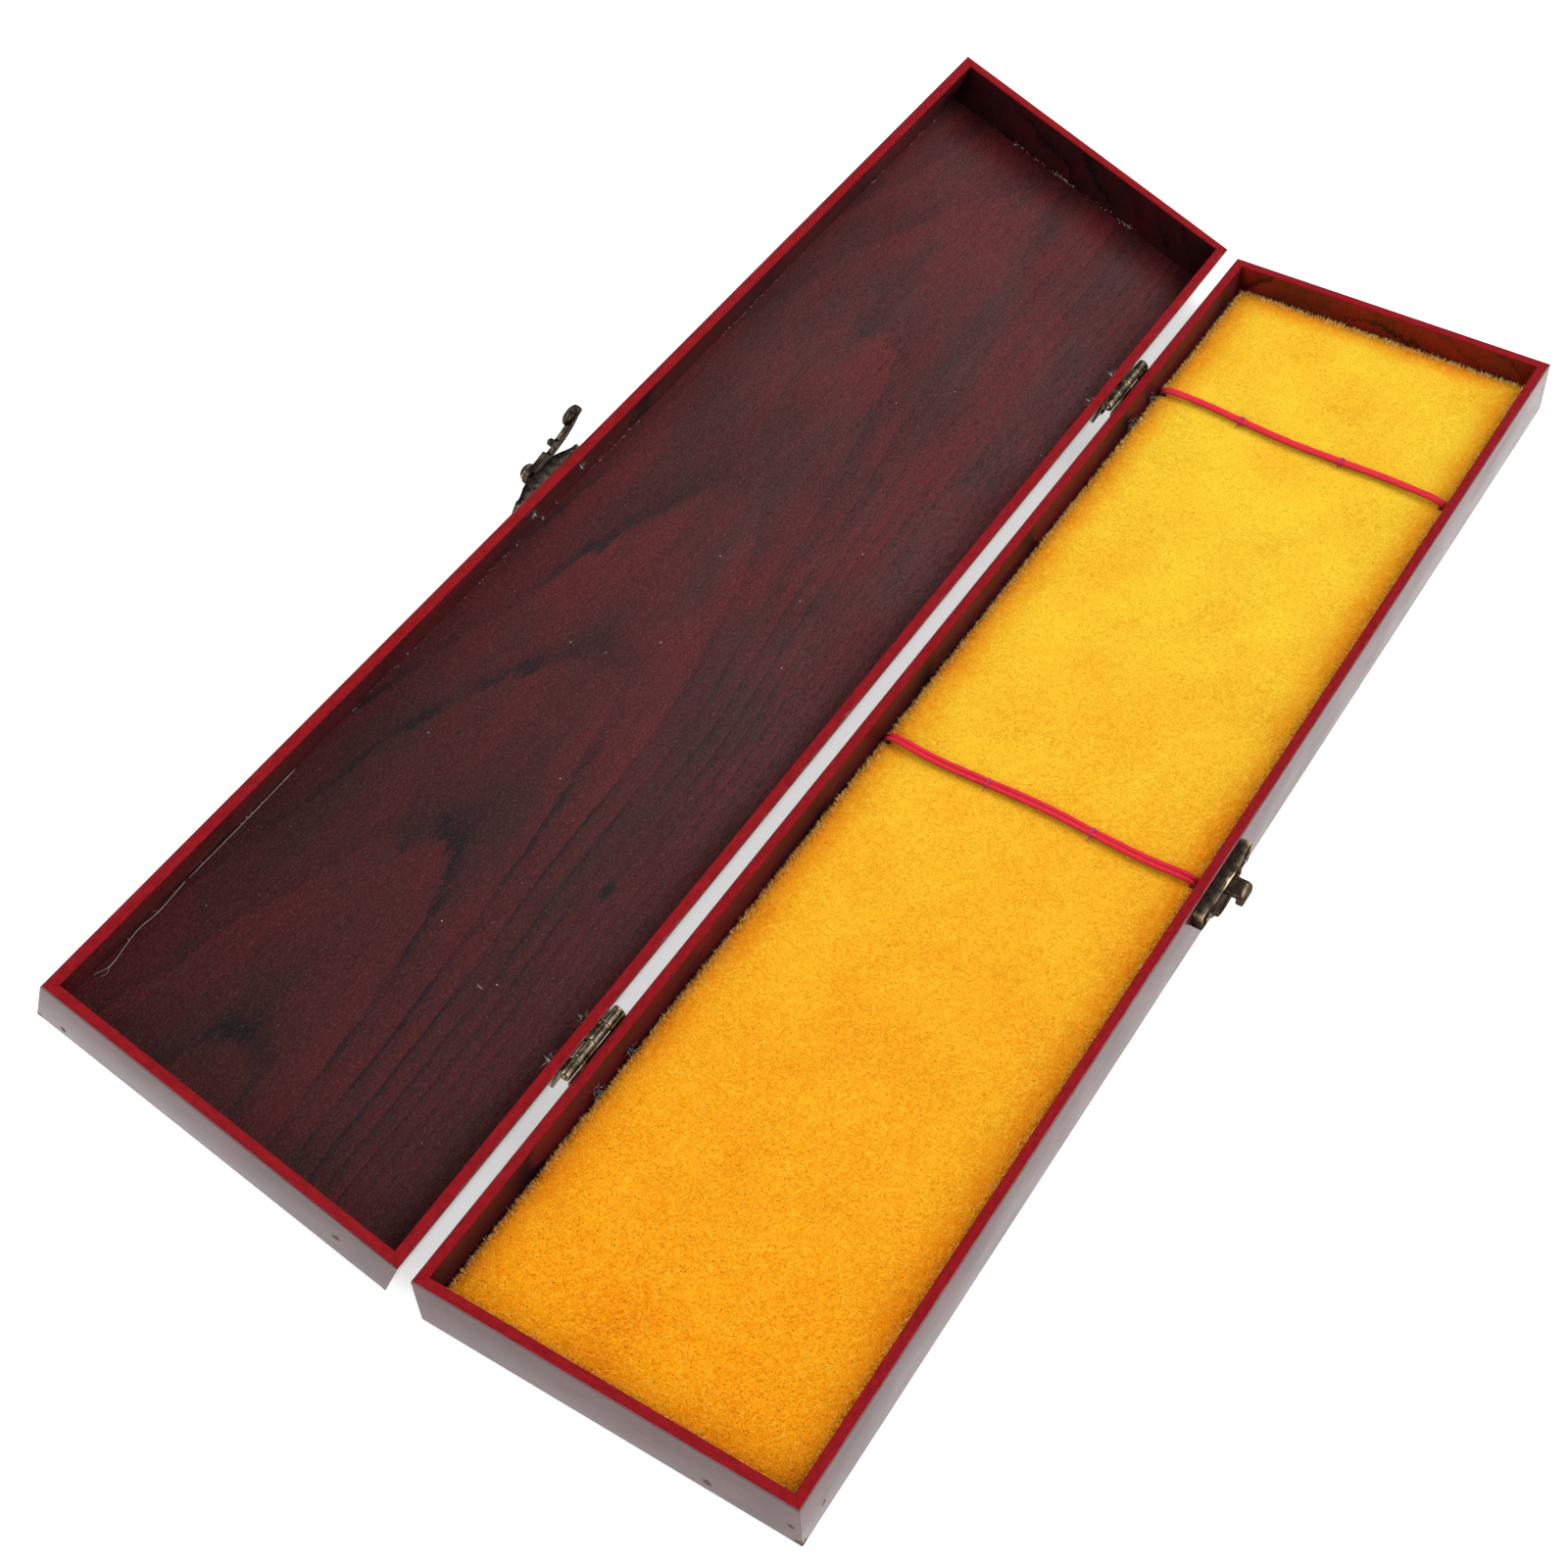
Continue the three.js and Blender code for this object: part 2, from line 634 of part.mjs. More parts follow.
function buildLid() {
  const opened = new THREE.Group();
  opened.position.set(axisX, 0, axisZ);
  opened.rotation.y = THREE.MathUtils.degToRad(-openAngle);
  const lid = new THREE.Group();
  lid.position.set(-axisX, 0, -axisZ);
  opened.add(lid);

  const latchNailZ = lidRim + latchPanRise + panEndHeight / 2;
  const hingeHoles = hingeNailPlaces(axisZ + leafNailDrop);
  addTrayWalls(lid, 'lid', 'latch', lidRim, lidHeight, hingeHoles, panNailPlaces(latchNailZ));
  const panel = addPiece(lid, 'lid_top_panel', panelGeometry(lidPanelThickness), 'panel');
  panel.position.z = lidTop - lidPanelThickness / 2;
  addLeaves(lid, 'lid', 1, 1);

  const pan = panParts();
  const rivetHole = drillX(rivetRadius + runningClearance, 0, 2 * panDepth, 0, latchPanRise - hookPivotRise);
  const latchPlate = combine([pan.outer], [...pan.cuts, rivetHole]);
  const latch = addPiece(lid, 'latch_plate', mirrorZ(latchPlate), 'bronze');
  latch.position.set(halfWidth, latchStation, lidRim + latchPanRise);
  addPanNails(lid, 'latch', latchNailZ);
  const rivet = addPiece(lid, 'latch_rivet', rivetGeometry(), 'bronze');
  rivet.position.set(halfWidth, latchStation, lidRim + hookPivotRise);

  const hook = addPiece(lid, 'latch_hook', hookGeometry(), 'bronze');
  hook.position.set(halfWidth + hookBack, latchStation, lidRim + hookPivotRise);
  hook.rotation.x = THREE.MathUtils.degToRad(hookRestAngle);
  return opened;
}

const box = new THREE.Group();
box.add(buildBase());
box.add(buildLid());

export default box;
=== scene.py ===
import bpy
import bmesh
import math
import random
from mathutils import Matrix, Vector, noise


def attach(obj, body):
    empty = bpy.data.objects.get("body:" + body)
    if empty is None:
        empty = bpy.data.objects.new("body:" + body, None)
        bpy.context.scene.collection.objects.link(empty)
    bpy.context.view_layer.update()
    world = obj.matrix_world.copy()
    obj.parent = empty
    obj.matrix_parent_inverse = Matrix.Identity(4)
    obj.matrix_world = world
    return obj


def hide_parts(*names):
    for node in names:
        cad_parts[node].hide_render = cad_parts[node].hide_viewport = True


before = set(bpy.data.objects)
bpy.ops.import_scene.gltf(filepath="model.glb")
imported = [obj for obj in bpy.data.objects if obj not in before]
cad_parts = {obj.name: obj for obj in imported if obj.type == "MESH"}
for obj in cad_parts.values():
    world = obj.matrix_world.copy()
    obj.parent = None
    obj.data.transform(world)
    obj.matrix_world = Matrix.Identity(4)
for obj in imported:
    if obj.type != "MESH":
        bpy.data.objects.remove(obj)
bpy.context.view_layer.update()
scene = bpy.context.scene
scene.view_settings.view_transform = "Standard"
mm = 0.001
print("frame loaded:", len(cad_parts), "nodes")

# The camera stands where the photograph was taken from, lens and shift as its corners gave them
viewPoint = {
    "place": (0.14667, -0.30301, 0.40385),
    "right": (0.843376, 0.535844, -0.039858),
    "up": (-0.378034, 0.644437, 0.664674),
    "lens": 57.239,
    "shift": (-0.0100, -0.0441),
}

# Sizes of the box in millimetres, the same as the CAD model's
box = {
    "length": 330.0,
    "width": 81.0,
    "baseHeight": 14.0,
    "lidHeight": 13.7,
    "wall": 2.4,
    "basePanel": 2.0,
    "lidPanel": 1.8,
    "rimGap": 0.3,
    "openAngle": 157.0,
    "axisX": -41.95,
    "axisZ": 14.7,
    "hingeStation": 108.0,
    "latchStation": -11.6,
}
halfLength = box["length"] / 2
halfWidth = box["width"] / 2
innerX = halfWidth - box["wall"]
innerY = halfLength - box["wall"]
lidRim = box["baseHeight"] + box["rimGap"]
lidTop = lidRim + box["lidHeight"]


def shift(x, y, z):
    return Matrix.Translation((x * mm, y * mm, z * mm))


def turn(degrees, axis):
    return Matrix.Rotation(math.radians(degrees), 4, axis)


# The lid is drawn as a tray with its rim up, turned over onto the base, then opened about the hinges
hingeAxis = shift(box["axisX"], 0, box["axisZ"])
openLid = hingeAxis @ turn(-box["openAngle"], "Y") @ shift(-box["axisX"], 0, -box["axisZ"])
lidTray = openLid @ shift(0, 0, lidTop) @ turn(180, "Y")
baseTray = Matrix.Identity(4)


def makeCamera():
    data = bpy.data.cameras.new("photoCamera")
    data.sensor_width = 36
    data.lens = viewPoint["lens"]
    data.shift_x, data.shift_y = viewPoint["shift"]
    data.clip_start = 0.01
    data.clip_end = 20
    camera = bpy.data.objects.new("photoCamera", data)
    scene.collection.objects.link(camera)
    right = Vector(viewPoint["right"]).normalized()
    up = Vector(viewPoint["up"])
    up = (up - right * up.dot(right)).normalized()
    turned = Matrix((right, up, right.cross(up))).transposed().to_4x4()
    camera.matrix_world = Matrix.Translation(viewPoint["place"]) @ turned
    scene.camera = camera


makeCamera()
print("camera set")


# Small helpers for shader nodes. They all work on the material that is being made

work = {}


def plug(made, key, value):
    # a node's output is linked, a number or colour is set on the socket
    if isinstance(value, bpy.types.NodeSocket):
        work["tree"].links.new(value, made.inputs[key])
    else:
        made.inputs[key].default_value = value


def node(kind, inputs=None, **settings):
    made = work["tree"].nodes.new("ShaderNode" + kind)
    for key, value in settings.items():
        setattr(made, key, value)
    for key, value in (inputs or {}).items():
        plug(made, key, value)
    return made


def calc(how, a, b=0.0, *more, clamp=False):
    inputs = dict(enumerate((a, b, *more)))
    return node("Math", inputs, operation=how, use_clamp=clamp).outputs[0]


def times(a, b):
    return calc("MULTIPLY", a, b)


def timesPlus(a, b, c):
    return calc("MULTIPLY_ADD", a, b, c)


def plus(a, b):
    return calc("ADD", a, b)


def minus(a, b):
    return calc("SUBTRACT", a, b)


def larger(a, b):
    return calc("MAXIMUM", a, b)


def spread(value, low, high, toLow=0.0, toHigh=1.0, smooth=True):
    kind = "SMOOTHSTEP" if smooth else "LINEAR"
    inputs = {0: value, 1: low, 2: high, 3: toLow, 4: toHigh}
    return node("MapRange", inputs, interpolation_type=kind).outputs[0]


def blend(factor, a, b, how="MIX"):
    made = node("Mix", data_type="RGBA", blend_type=how)
    for index, value in ((0, factor), (6, a), (7, b)):
        plug(made, index, (*value, 1) if isinstance(value, tuple) else value)
    return made.outputs[2]


def stretched(scale, offset=(0, 0, 0), place=None):
    place = work["place"] if place is None else place
    return node("Mapping", {"Vector": place, "Scale": scale, "Location": offset}).outputs[0]


def clouds(scale, detail=3.0, rough=0.55, offset=(0, 0, 0), place=None):
    # scale is one number, or three for noise that is stretched along X, Y or Z
    place = work["place"] if place is None else place
    if isinstance(scale, tuple):
        place, scale = stretched(scale, offset, place), 1.0
    inputs = {"Vector": place, "Scale": scale, "Detail": detail, "Roughness": rough}
    return node("TexNoise", inputs).outputs[0]


def bands(place, **inputs):
    inputs = {"Vector": place, **{key.replace("_", " "): value for key, value in inputs.items()}}
    return node("TexWave", inputs, wave_type="BANDS", bands_direction="DIAGONAL").outputs[1]


def bump(height, distance, strength=1.0, under=None):
    inputs = {"Strength": strength, "Distance": distance * mm, "Height": height}
    if under is not None:
        inputs["Normal"] = under
    return node("Bump", inputs).outputs[0]


def startMaterial(name):
    # hands back the place on the piece in millimetres, from its own origin
    work["material"] = bpy.data.materials.new(name)
    work["material"].use_nodes = True
    work["tree"] = work["material"].node_tree
    work["tree"].nodes.clear()
    work["shader"] = node("BsdfPrincipled")
    node("OutputMaterial", {0: work["shader"].outputs[0]})
    work["place"] = stretched((1000, 1000, 1000), place=node("TexCoord").outputs["Object"])
    return work["place"]


def endMaterial(colour, roughness, normal=None, **others):
    # others are further sockets of the shader, their spaces written as underscores
    sockets = {key.replace("_", " "): value for key, value in others.items()}
    sockets.update({"Base Color": colour, "Roughness": roughness})
    if normal is not None:
        sockets["Normal"] = normal
    for key, value in sockets.items():
        plug(work["shader"], key, value)
    return work["material"]


# Small helpers for meshes, all in millimetres

def makeObject(name, points, faces, matrix=None, sharp=40, closed=True):
    mesh = bpy.data.meshes.new(name)
    mesh.from_pydata([(x * mm, y * mm, z * mm) for x, y, z in points], [], faces)
    mesh.update()
    if closed:
        shape = bmesh.new()
        shape.from_mesh(mesh)
        bmesh.ops.recalc_face_normals(shape, faces=shape.faces)
        shape.to_mesh(mesh)
        shape.free()
    return placeObject(name, mesh, sharp, matrix)


def placeObject(name, mesh, sharp, matrix=None):
    mesh.shade_smooth()
    if sharp < 180:
        mesh.set_sharp_from_angle(angle=math.radians(sharp))
    made = bpy.data.objects.new(name, mesh)
    scene.collection.objects.link(made)
    if matrix is not None:
        made.matrix_world = matrix
    return made


def loft(rings, capStart=True, capEnd=True):
    count = len(rings[0])
    points = [tuple(p) for ring in rings for p in ring]
    faces = []
    for i in range(len(rings) - 1):
        for j in range(count):
            k = (j + 1) % count
            faces.append((i * count + j, i * count + k, (i + 1) * count + k, (i + 1) * count + j))
    if capStart:
        faces.append(tuple(range(count))[::-1])
    if capEnd:
        faces.append(tuple(range((len(rings) - 1) * count, len(rings) * count)))
    return points, faces


def joined(parts):
    points, faces = [], []
    for somePoints, someFaces in parts:
        start = len(points)
        points += somePoints
        faces += [tuple(i + start for i in face) for face in someFaces]
    return points, faces


def arc(cx, cy, radius, fromDegrees, toDegrees, steps):
    out = []
    for i in range(steps + 1):
        angle = math.radians(fromDegrees + (toDegrees - fromDegrees) * i / steps)
        out.append((cx + radius * math.cos(angle), cy + radius * math.sin(angle)))
    return out


def follow(out, *moves):
    # adds to an outline: (end, steps) is a straight line, (control, end, steps) is a bend
    for *control, end, steps in moves:
        x0, y0 = out[-1]
        for i in range(1, steps + 1):
            t = i / steps
            if control:
                cx, cy = control[0]
                out.append(((1 - t) ** 2 * x0 + 2 * t * (1 - t) * cx + t * t * end[0],
                            (1 - t) ** 2 * y0 + 2 * t * (1 - t) * cy + t * t * end[1]))
            else:
                out.append((x0 + (end[0] - x0) * i / steps, y0 + (end[1] - y0) * i / steps))


def lathe(profile, sides, axis="X"):
    # profile is (along, radius) from one end to the other, a radius of 0 is drawn as a tiny cap
    rings = []
    for along, radius in profile:
        ring = []
        for i in range(sides):
            angle = 2 * math.pi * i / sides
            u, v = max(radius, 0.004) * math.cos(angle), max(radius, 0.004) * math.sin(angle)
            ring.append({"X": (along, u, v), "Y": (u, along, v), "Z": (u, v, along)}[axis])
        rings.append(ring)
    return loft(rings)


def ellipsoid(centre, radii, rings=16, sides=24):
    angles = [math.pi * i / rings for i in range(rings + 1)]
    points, faces = lathe([(-math.cos(angle), math.sin(angle)) for angle in angles], sides, "Z")
    return [tuple(c + r * v for c, r, v in zip(centre, radii, point)) for point in points], faces


def between(a, b, ta, tb, t):
    return a * ((tb - t) / (tb - ta)) + b * ((t - ta) / (tb - ta))


def smoothRoute(points, steps):
    # centripetal spline through the points, as the CAD cord has it
    pts = [Vector(p) for p in points]
    pts = [pts[0] * 2 - pts[1]] + pts + [pts[-1] * 2 - pts[-2]]
    out = []
    for i in range(1, len(pts) - 2):
        p = pts[i - 1:i + 3]
        t0 = 0.0
        t1 = t0 + math.sqrt((p[1] - p[0]).length)
        t2 = t1 + math.sqrt((p[2] - p[1]).length)
        t3 = t2 + math.sqrt((p[3] - p[2]).length)
        for s in range(steps):
            t = t1 + (t2 - t1) * s / steps
            a1, a2 = between(p[0], p[1], t0, t1, t), between(p[1], p[2], t1, t2, t)
            a3 = between(p[2], p[3], t2, t3, t)
            out.append(between(between(a1, a2, t0, t2, t), between(a2, a3, t1, t3, t), t1, t2, t))
    out.append(pts[-2])
    return out


def routeFrames(route):
    # each point with the way ahead, and the directions to its side and its top
    frames = []
    side = None
    for i, point in enumerate(route):
        ahead = route[min(i + 1, len(route) - 1)] - route[max(i - 1, 0)]
        ahead.normalize()
        if side is None:
            side = ahead.cross(Vector((0, 0, 1)))
            if side.length < 0.1:
                side = ahead.cross(Vector((1, 0, 0)))
            side.normalize()
        side = (side - ahead * side.dot(ahead)).normalized()
        frames.append((point, ahead, side, side.cross(ahead)))
    return frames


def tube(route, radius, sides, flat=1.0, ripple=None):
    rings = []
    for i, (point, ahead, side, top) in enumerate(routeFrames(route)):
        ring = []
        for j in range(sides):
            angle = 2 * math.pi * j / sides
            r = radius * (ripple(i, angle) if ripple else 1.0)
            ring.append(point + side * (r * math.cos(angle)) + top * (r * flat * math.sin(angle)))
        rings.append(ring)
    return loft(rings)


def settle(thing, name):
    # the mesh as its modifiers leave it
    solved = thing.evaluated_get(bpy.context.evaluated_depsgraph_get())
    mesh = bpy.data.meshes.new_from_object(solved)
    old = thing.data
    thing.modifiers.clear()
    thing.data = mesh
    bpy.data.meshes.remove(old)
    mesh.name = name
    return mesh


def dress(thing, material, body, slotName, *nodes):
    thing.data.materials.clear()
    thing.data.materials.append(material)
    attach(thing, body)
    if nodes:
        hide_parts(*nodes)
    return thing


# Film covered walls and panels

film = {
    "red": (0.088, 0.0085, 0.0098),
    "brown": (0.050, 0.0100, 0.0092),
    "deep": (0.022, 0.0050, 0.0058),
    "streak": (0.0070, 0.0034, 0.0055),
    "dust": (0.50, 0.42, 0.36),
    # painted shade for the near end of the lid's floor
    "nearPaintedShade": (0.66, 0.74, 0.74),
    "rawDark": (0.018, 0.008, 0.006),
    "rawLight": (0.16, 0.075, 0.045),
    "index": 1.5,
    "specular": 0.10,
    "wallHaze": (0.26, 0.38),
    "panelHaze": (0.36, 0.48),
}

# stretch of each noise along the grain and across it, per millimetre
filmGrain = {
    "slow": (0.009, 0.030, 0.030),
    "fast": (0.050, 0.22, 0.22),
    "ragged": (0.16, 1.1, 1.1),
    "sway": (0.008, 0.003, 0.003),
    "strength": (0.020, 0.075, 0.075),
    "tone": (0.02, 0.08, 0.08),
    "lines": (0.075, 1.9, 1.9),
    "ticks": (0.75, 4.6, 4.6),
}

rimPaint = {
    "bright": (0.224, 0.0036, 0.0072),
    "dark": (0.146, 0.0022, 0.0048),
    "edgeWear": (0.36, 0.07, 0.08),
    "wrap": 0.32,
    "outerWrap": 0.045,
    "edge": 0.03,
    "roughness": 0.50,
}

wallShape = {
    "outerTop": 0.36,
    "innerTop": 0.26,
    "outerBottom": 0.45,
    "station": 5.0,
    "waver": 0.035,
    "mitreGap": 0.03,
}

# painted light and shade tinting each wall's film, lacquer and its haze on the outer face, and scuffs as
# (along, inwards, up, size)
usualWall = {"lightAndShade": (1.0, 1.0, 1.0), "lacquer": 0.43, "haze": 0.14}
walls = {
    "base_near_end_wall": {"scuffs": ((40.5, 0, 0, 2.6), (21.5, 0, 3.5, 1.1), (38.5, 0, 6.0, 0.8))},
    "base_far_end_wall": {"scuffs": ((-40.5, 0, 0, 1.6),), "lightAndShade": (2.1, 1.5, 0.55)},
    "base_catch_wall": {"scuffs": ((-165.0, 0, 0, 2.2), (-158.0, 0, 4.5, 0.7), (60.0, 0, 0, 0.9))},
    "base_hinge_wall": {"scuffs": ((165.0, 0, 0, 1.5), (-165.0, 0, 0, 1.5))},
    "lid_near_end_wall": {
        "scuffs": ((-40.5, 0, 0, 1.9), (-34.5, 0, 2.6, 0.9), (28.0, 0, 6.5, 1.1), (40.5, 0, 0, 1.2)),
        "lightAndShade": (0.8, 0.8, 0.8),
    },
    "lid_far_end_wall": {"scuffs": ((40.5, 0, 0, 1.4),), "lightAndShade": (0.42, 0.55, 0.6)},
    "lid_hinge_wall": {"scuffs": ((-165.0, 0, 0, 1.4),), "lacquer": 1.0, "haze": 0.05},
    "lid_latch_wall": {"scuffs": ((165.0, 0, 0, 1.6), (-40.0, 0, 0, 0.9))},
}

# the printed figure: arches open along X about an axis, one every period, bold up to boldTo
wallFigures = {
    "long": {"bend": 0.16, "period": 46.0, "warp": 16.0, "sway": 5.0, "steep": 1.0, "boldTo": 400.0},
    "end": {"bend": 0.012, "period": 9.0, "warp": 7.0, "sway": 6.0, "steep": 1.0, "boldTo": 400.0},
}
panels = {
    "base": {
        "node": "base_bottom_panel", "thick": box["basePanel"], "seed": 4.0, "dustAndNearShade": False, "knots": (),
        "figure": {"axis": -8.0, "bend": 0.10, "apex": 20.0, "period": 58.0, "warp": 15.0, "sway": 8.0,
                   "steep": 1.3, "boldTo": 60.0},
    },
    "lid": {
        "node": "lid_top_panel", "thick": box["lidPanel"], "seed": 9.0, "dustAndNearShade": True,
        "knots": ((-75.0, -24.6, 1.8, 1.7),),
        "figure": {"axis": 6.0, "bend": 0.100, "apex": -33.0, "period": 60.0, "warp": 19.0, "sway": 6.0,
                   "steep": 1.8, "boldTo": -20.0},
    },
}
panelEdge = 0.12


def filmColour(place, seed, figure):
    # printed rosewood: arches open along the grain, each dark on its outer side and clear on its inner side
    def grain(name, detail, offset, rough=0.55):
        return clouds(filmGrain[name], detail, rough, offset, place)

    x, y = node("SeparateXYZ", {0: place}).outputs[:2]
    across = minus(y, figure["axis"] - figure["sway"])
    across = timesPlus(grain("sway", 1, (2, seed, 5)), -2 * figure["sway"], across)
    across = times(across, spread(across, -4.0, 4.0, figure["steep"], 1.0))
    along = timesPlus(times(across, across), figure["bend"], x)
    for name, detail, offset, share in (
        ("slow", 2, (seed * 3.1, seed, 0), 2),
        ("fast", 3, (seed, 3, 0), 1.1),
        ("ragged", 2, (seed, 8, 2), 0.5),
    ):
        along = timesPlus(minus(grain(name, detail, offset), 0.5), figure["warp"] * share, along)
    # 20 periods keep the share of a ring positive all over the box
    along = minus(along, figure["apex"] - 20 * figure["period"])
    ring = calc("FRACT", calc("DIVIDE", along, figure["period"]))
    late = times(spread(ring, 0.0, 0.05), spread(ring, 0.24, 0.06))
    strength = spread(grain("strength", 4, (7 + seed, 3, 1)), 0.44, 0.60)
    bold = spread(x, figure["boldTo"] + 45.0, figure["boldTo"], 0.22, 1.0)
    # the crowded lines along the steep side are fainter
    bold = times(bold, spread(across, -72.0, -34.0, 0.18, 1.0))
    late = times(times(late, bold), timesPlus(strength, 0.66, 0.22))
    porous = times(spread(ring, 0.80, 0.12), timesPlus(strength, 0.45, 0.40))
    lines = grain("lines", 3, (seed, 2, 1), 0.65)
    pores = spread(grain("ticks", 2, (5, seed, 9), 0.5), 0.54, 0.66)
    tone = spread(grain("tone", 3, (1, seed, 4), 0.6), 0.36, 0.62)
    colour = blend(tone, film["brown"], film["red"])
    colour = blend(times(porous, 0.42), colour, film["deep"])
    colour = blend(spread(lines, 0.48, 0.78, 0.0, 0.65), colour, film["deep"])
    colour = blend(late, colour, film["streak"])
    colour = blend(times(pores, timesPlus(porous, 0.45, 0.32)), colour, film["streak"])
    return colour, lines, pores


def scuffMask(place, scuffs):
    total = None
    grit = clouds(1.3, 4, 0.7)
    for x, y, z, size in scuffs:
        off = node("VectorMath", {0: place, 1: (x, y, z)}, operation="DISTANCE").outputs["Value"]
        off = plus(off, times(minus(grit, 0.5), size * 1.8))
        one = spread(off, size, size * 0.45)
        total = one if total is None else larger(total, one)
    return total


def dustSpecks(place, spacing, size, share):
    cells = node("TexVoronoi", {"Vector": place, "Scale": 1 / spacing}, feature="F1")
    near = spread(cells.outputs["Distance"], size / spacing, size * 0.5 / spacing)
    pick = node("SeparateColor", {0: cells.outputs["Color"]}).outputs[0]
    return times(near, calc("GREATER_THAN", pick, 1 - share))


def wallMaterial(name, height, seed, figure, upright):
    spec = {**usualWall, **walls[name]}
    place = startMaterial(name + "Film")
    x, y, z = node("SeparateXYZ", {0: place}).outputs
    grain = node("CombineXYZ", {0: z, 1: x, 2: y}).outputs[0] if upright else place
    colour, fine, _ = filmColour(grain, seed, figure)
    # painted light and shade: the base's far wall is tinted as if lit orange by the plush, the lid's end
    # walls darkened as if shaded
    colour = blend(1.0, colour, spec["lightAndShade"], "MULTIPLY")
    outside = spread(y, 1.2, 0.6)
    colour = blend(times(outside, 0.65), colour, film["brown"])
    # red paint on the rim, laid on by hand, so its edge wanders a little down both faces
    wander = times(minus(clouds((0.35, 0.9, 0.9)), 0.5), timesPlus(outside, -0.42, 0.50))
    line = timesPlus(outside, rimPaint["wrap"] - rimPaint["outerWrap"], height - rimPaint["wrap"])
    paint = spread(minus(z, plus(wander, line)), -rimPaint["edge"], rimPaint["edge"])
    mottle = clouds((0.55, 1.2, 1.2), 4, 0.65)
    red = blend(spread(mottle, 0.30, 0.70), rimPaint["dark"], rimPaint["bright"])
    worn = times(spread(clouds(2.1, 2), 0.70, 0.78), 0.35)
    colour = blend(paint, colour, blend(worn, red, rimPaint["edgeWear"]))
    mask = scuffMask(place, spec["scuffs"])
    colour = blend(mask, colour, blend(clouds(0.9, 3), film["rawDark"], film["rawLight"]))
    haze = spread(clouds((0.05, 0.12, 0.12), 4), 0.3, 0.7, *film["wallHaze"])
    roughness = timesPlus(paint, rimPaint["roughness"], haze)
    # the lacquer is thick on the outer face only, and clear on its rounded top edge
    lacquer = times(outside, timesPlus(paint, -1.0, 1.0))
    top = wallShape["outerTop"]
    lacquer = times(lacquer, spread(z, height - top, height - 0.5 * top, spec["lacquer"], 1.0))
    relief = plus(times(mottle, paint), times(fine, 0.12))
    return endMaterial(
        colour, calc("MULTIPLY_ADD", mask, 0.5, roughness, clamp=True), bump(minus(relief, mask), 0.06, 0.8),
        IOR=film["index"], Specular_IOR_Level=film["specular"],
        Coat_Weight=times(lacquer, minus(1.0, mask)), Coat_IOR=film["index"], Coat_Roughness=spec["haze"],
    )


def panelMaterial(name, seed, figure, dustAndNearShade, knots):
    place = startMaterial(name)
    colour, fine, pores = filmColour(place, seed, figure)
    if dustAndNearShade:
        # painted shade: the film is darker towards the near end
        nearShadeShare = spread(node("SeparateXYZ", {0: place}).outputs[0], 40.0, -120.0)
        colour = blend(nearShadeShare, colour, blend(1.0, colour, film["nearPaintedShade"], "MULTIPLY"))
    for x, y, z, size in knots:
        flat = stretched((0.45, 1, 1), (-0.45 * x, -y, -z))
        off = node("VectorMath", {0: flat}, operation="LENGTH").outputs["Value"]
        colour = blend(spread(off, size, size * 0.4), colour, film["streak"])
    sparkle = clouds((1.5, 3.2, 3.2), 2, 0.7, (3, 1, 7))
    colour = blend(spread(sparkle, 0.50, 0.30, 0.0, 0.60), colour, film["streak"])
    colour = blend(spread(sparkle, 0.50, 0.72, 0.0, 0.034), colour, film["dust"])
    if dustAndNearShade:
        # dust, grit and lint
        for scale, offset, spacing, size, share, weight in (
            ((1, 1, 0), (0, 0, 0), 3.4, 0.20, 0.09, 0.75),
            ((1, 1, 0), (40, 9, 0), 1.5, 0.13, 0.05, 0.35),
            ((1, 0.25, 0), (0, 0, 0), 6.0, 0.26, 0.03, 0.3),
        ):
            specks = dustSpecks(stretched(scale, offset), spacing, size, share)
            colour = blend(times(specks, weight), colour, film["dust"])
    haze = spread(clouds((0.02, 0.06, 0.06), 4), 0.3, 0.7, *film["panelHaze"])
    wave = bump(clouds((0.04, 0.10, 0.10), 2), 0.25, 0.5)
    grit = timesPlus(sparkle, 0.5, minus(times(fine, 0.4), times(pores, 0.6)))
    return endMaterial(
        colour, timesPlus(pores, 0.12, haze), bump(grit, 0.05, 0.7, wave),
        IOR=film["index"], Specular_IOR_Level=film["specular"],
    )


def wallMesh(span, height, seed):
    t = box["wall"]
    top, inner, low = wallShape["outerTop"], wallShape["innerTop"], wallShape["outerBottom"]
    section = arc(top, height - top, top, 180, 90, 5)
    section += arc(t - inner, height - inner, inner, 90, 0, 5)
    section += [(t, height * 0.5), (t, 0.0)]
    section += arc(low, low, low, 270, 180, 5)
    section += [(0.0, height * 0.5)]
    steps = max(6, round(span / wallShape["station"]))
    rings = []
    for i in range(steps + 1):
        share = 2 * i / steps - 1
        ring = []
        for y, z in section:
            x = share * (span / 2 - y - wallShape["mitreGap"])
            wobble = noise.noise(Vector((x * 0.09, seed * 7.3, y)))
            lift = -abs(wobble) * wallShape["waver"] if z > height - 1 else 0.0
            ring.append((x, y, z + lift))
        rings.append(ring)
    return loft(rings)


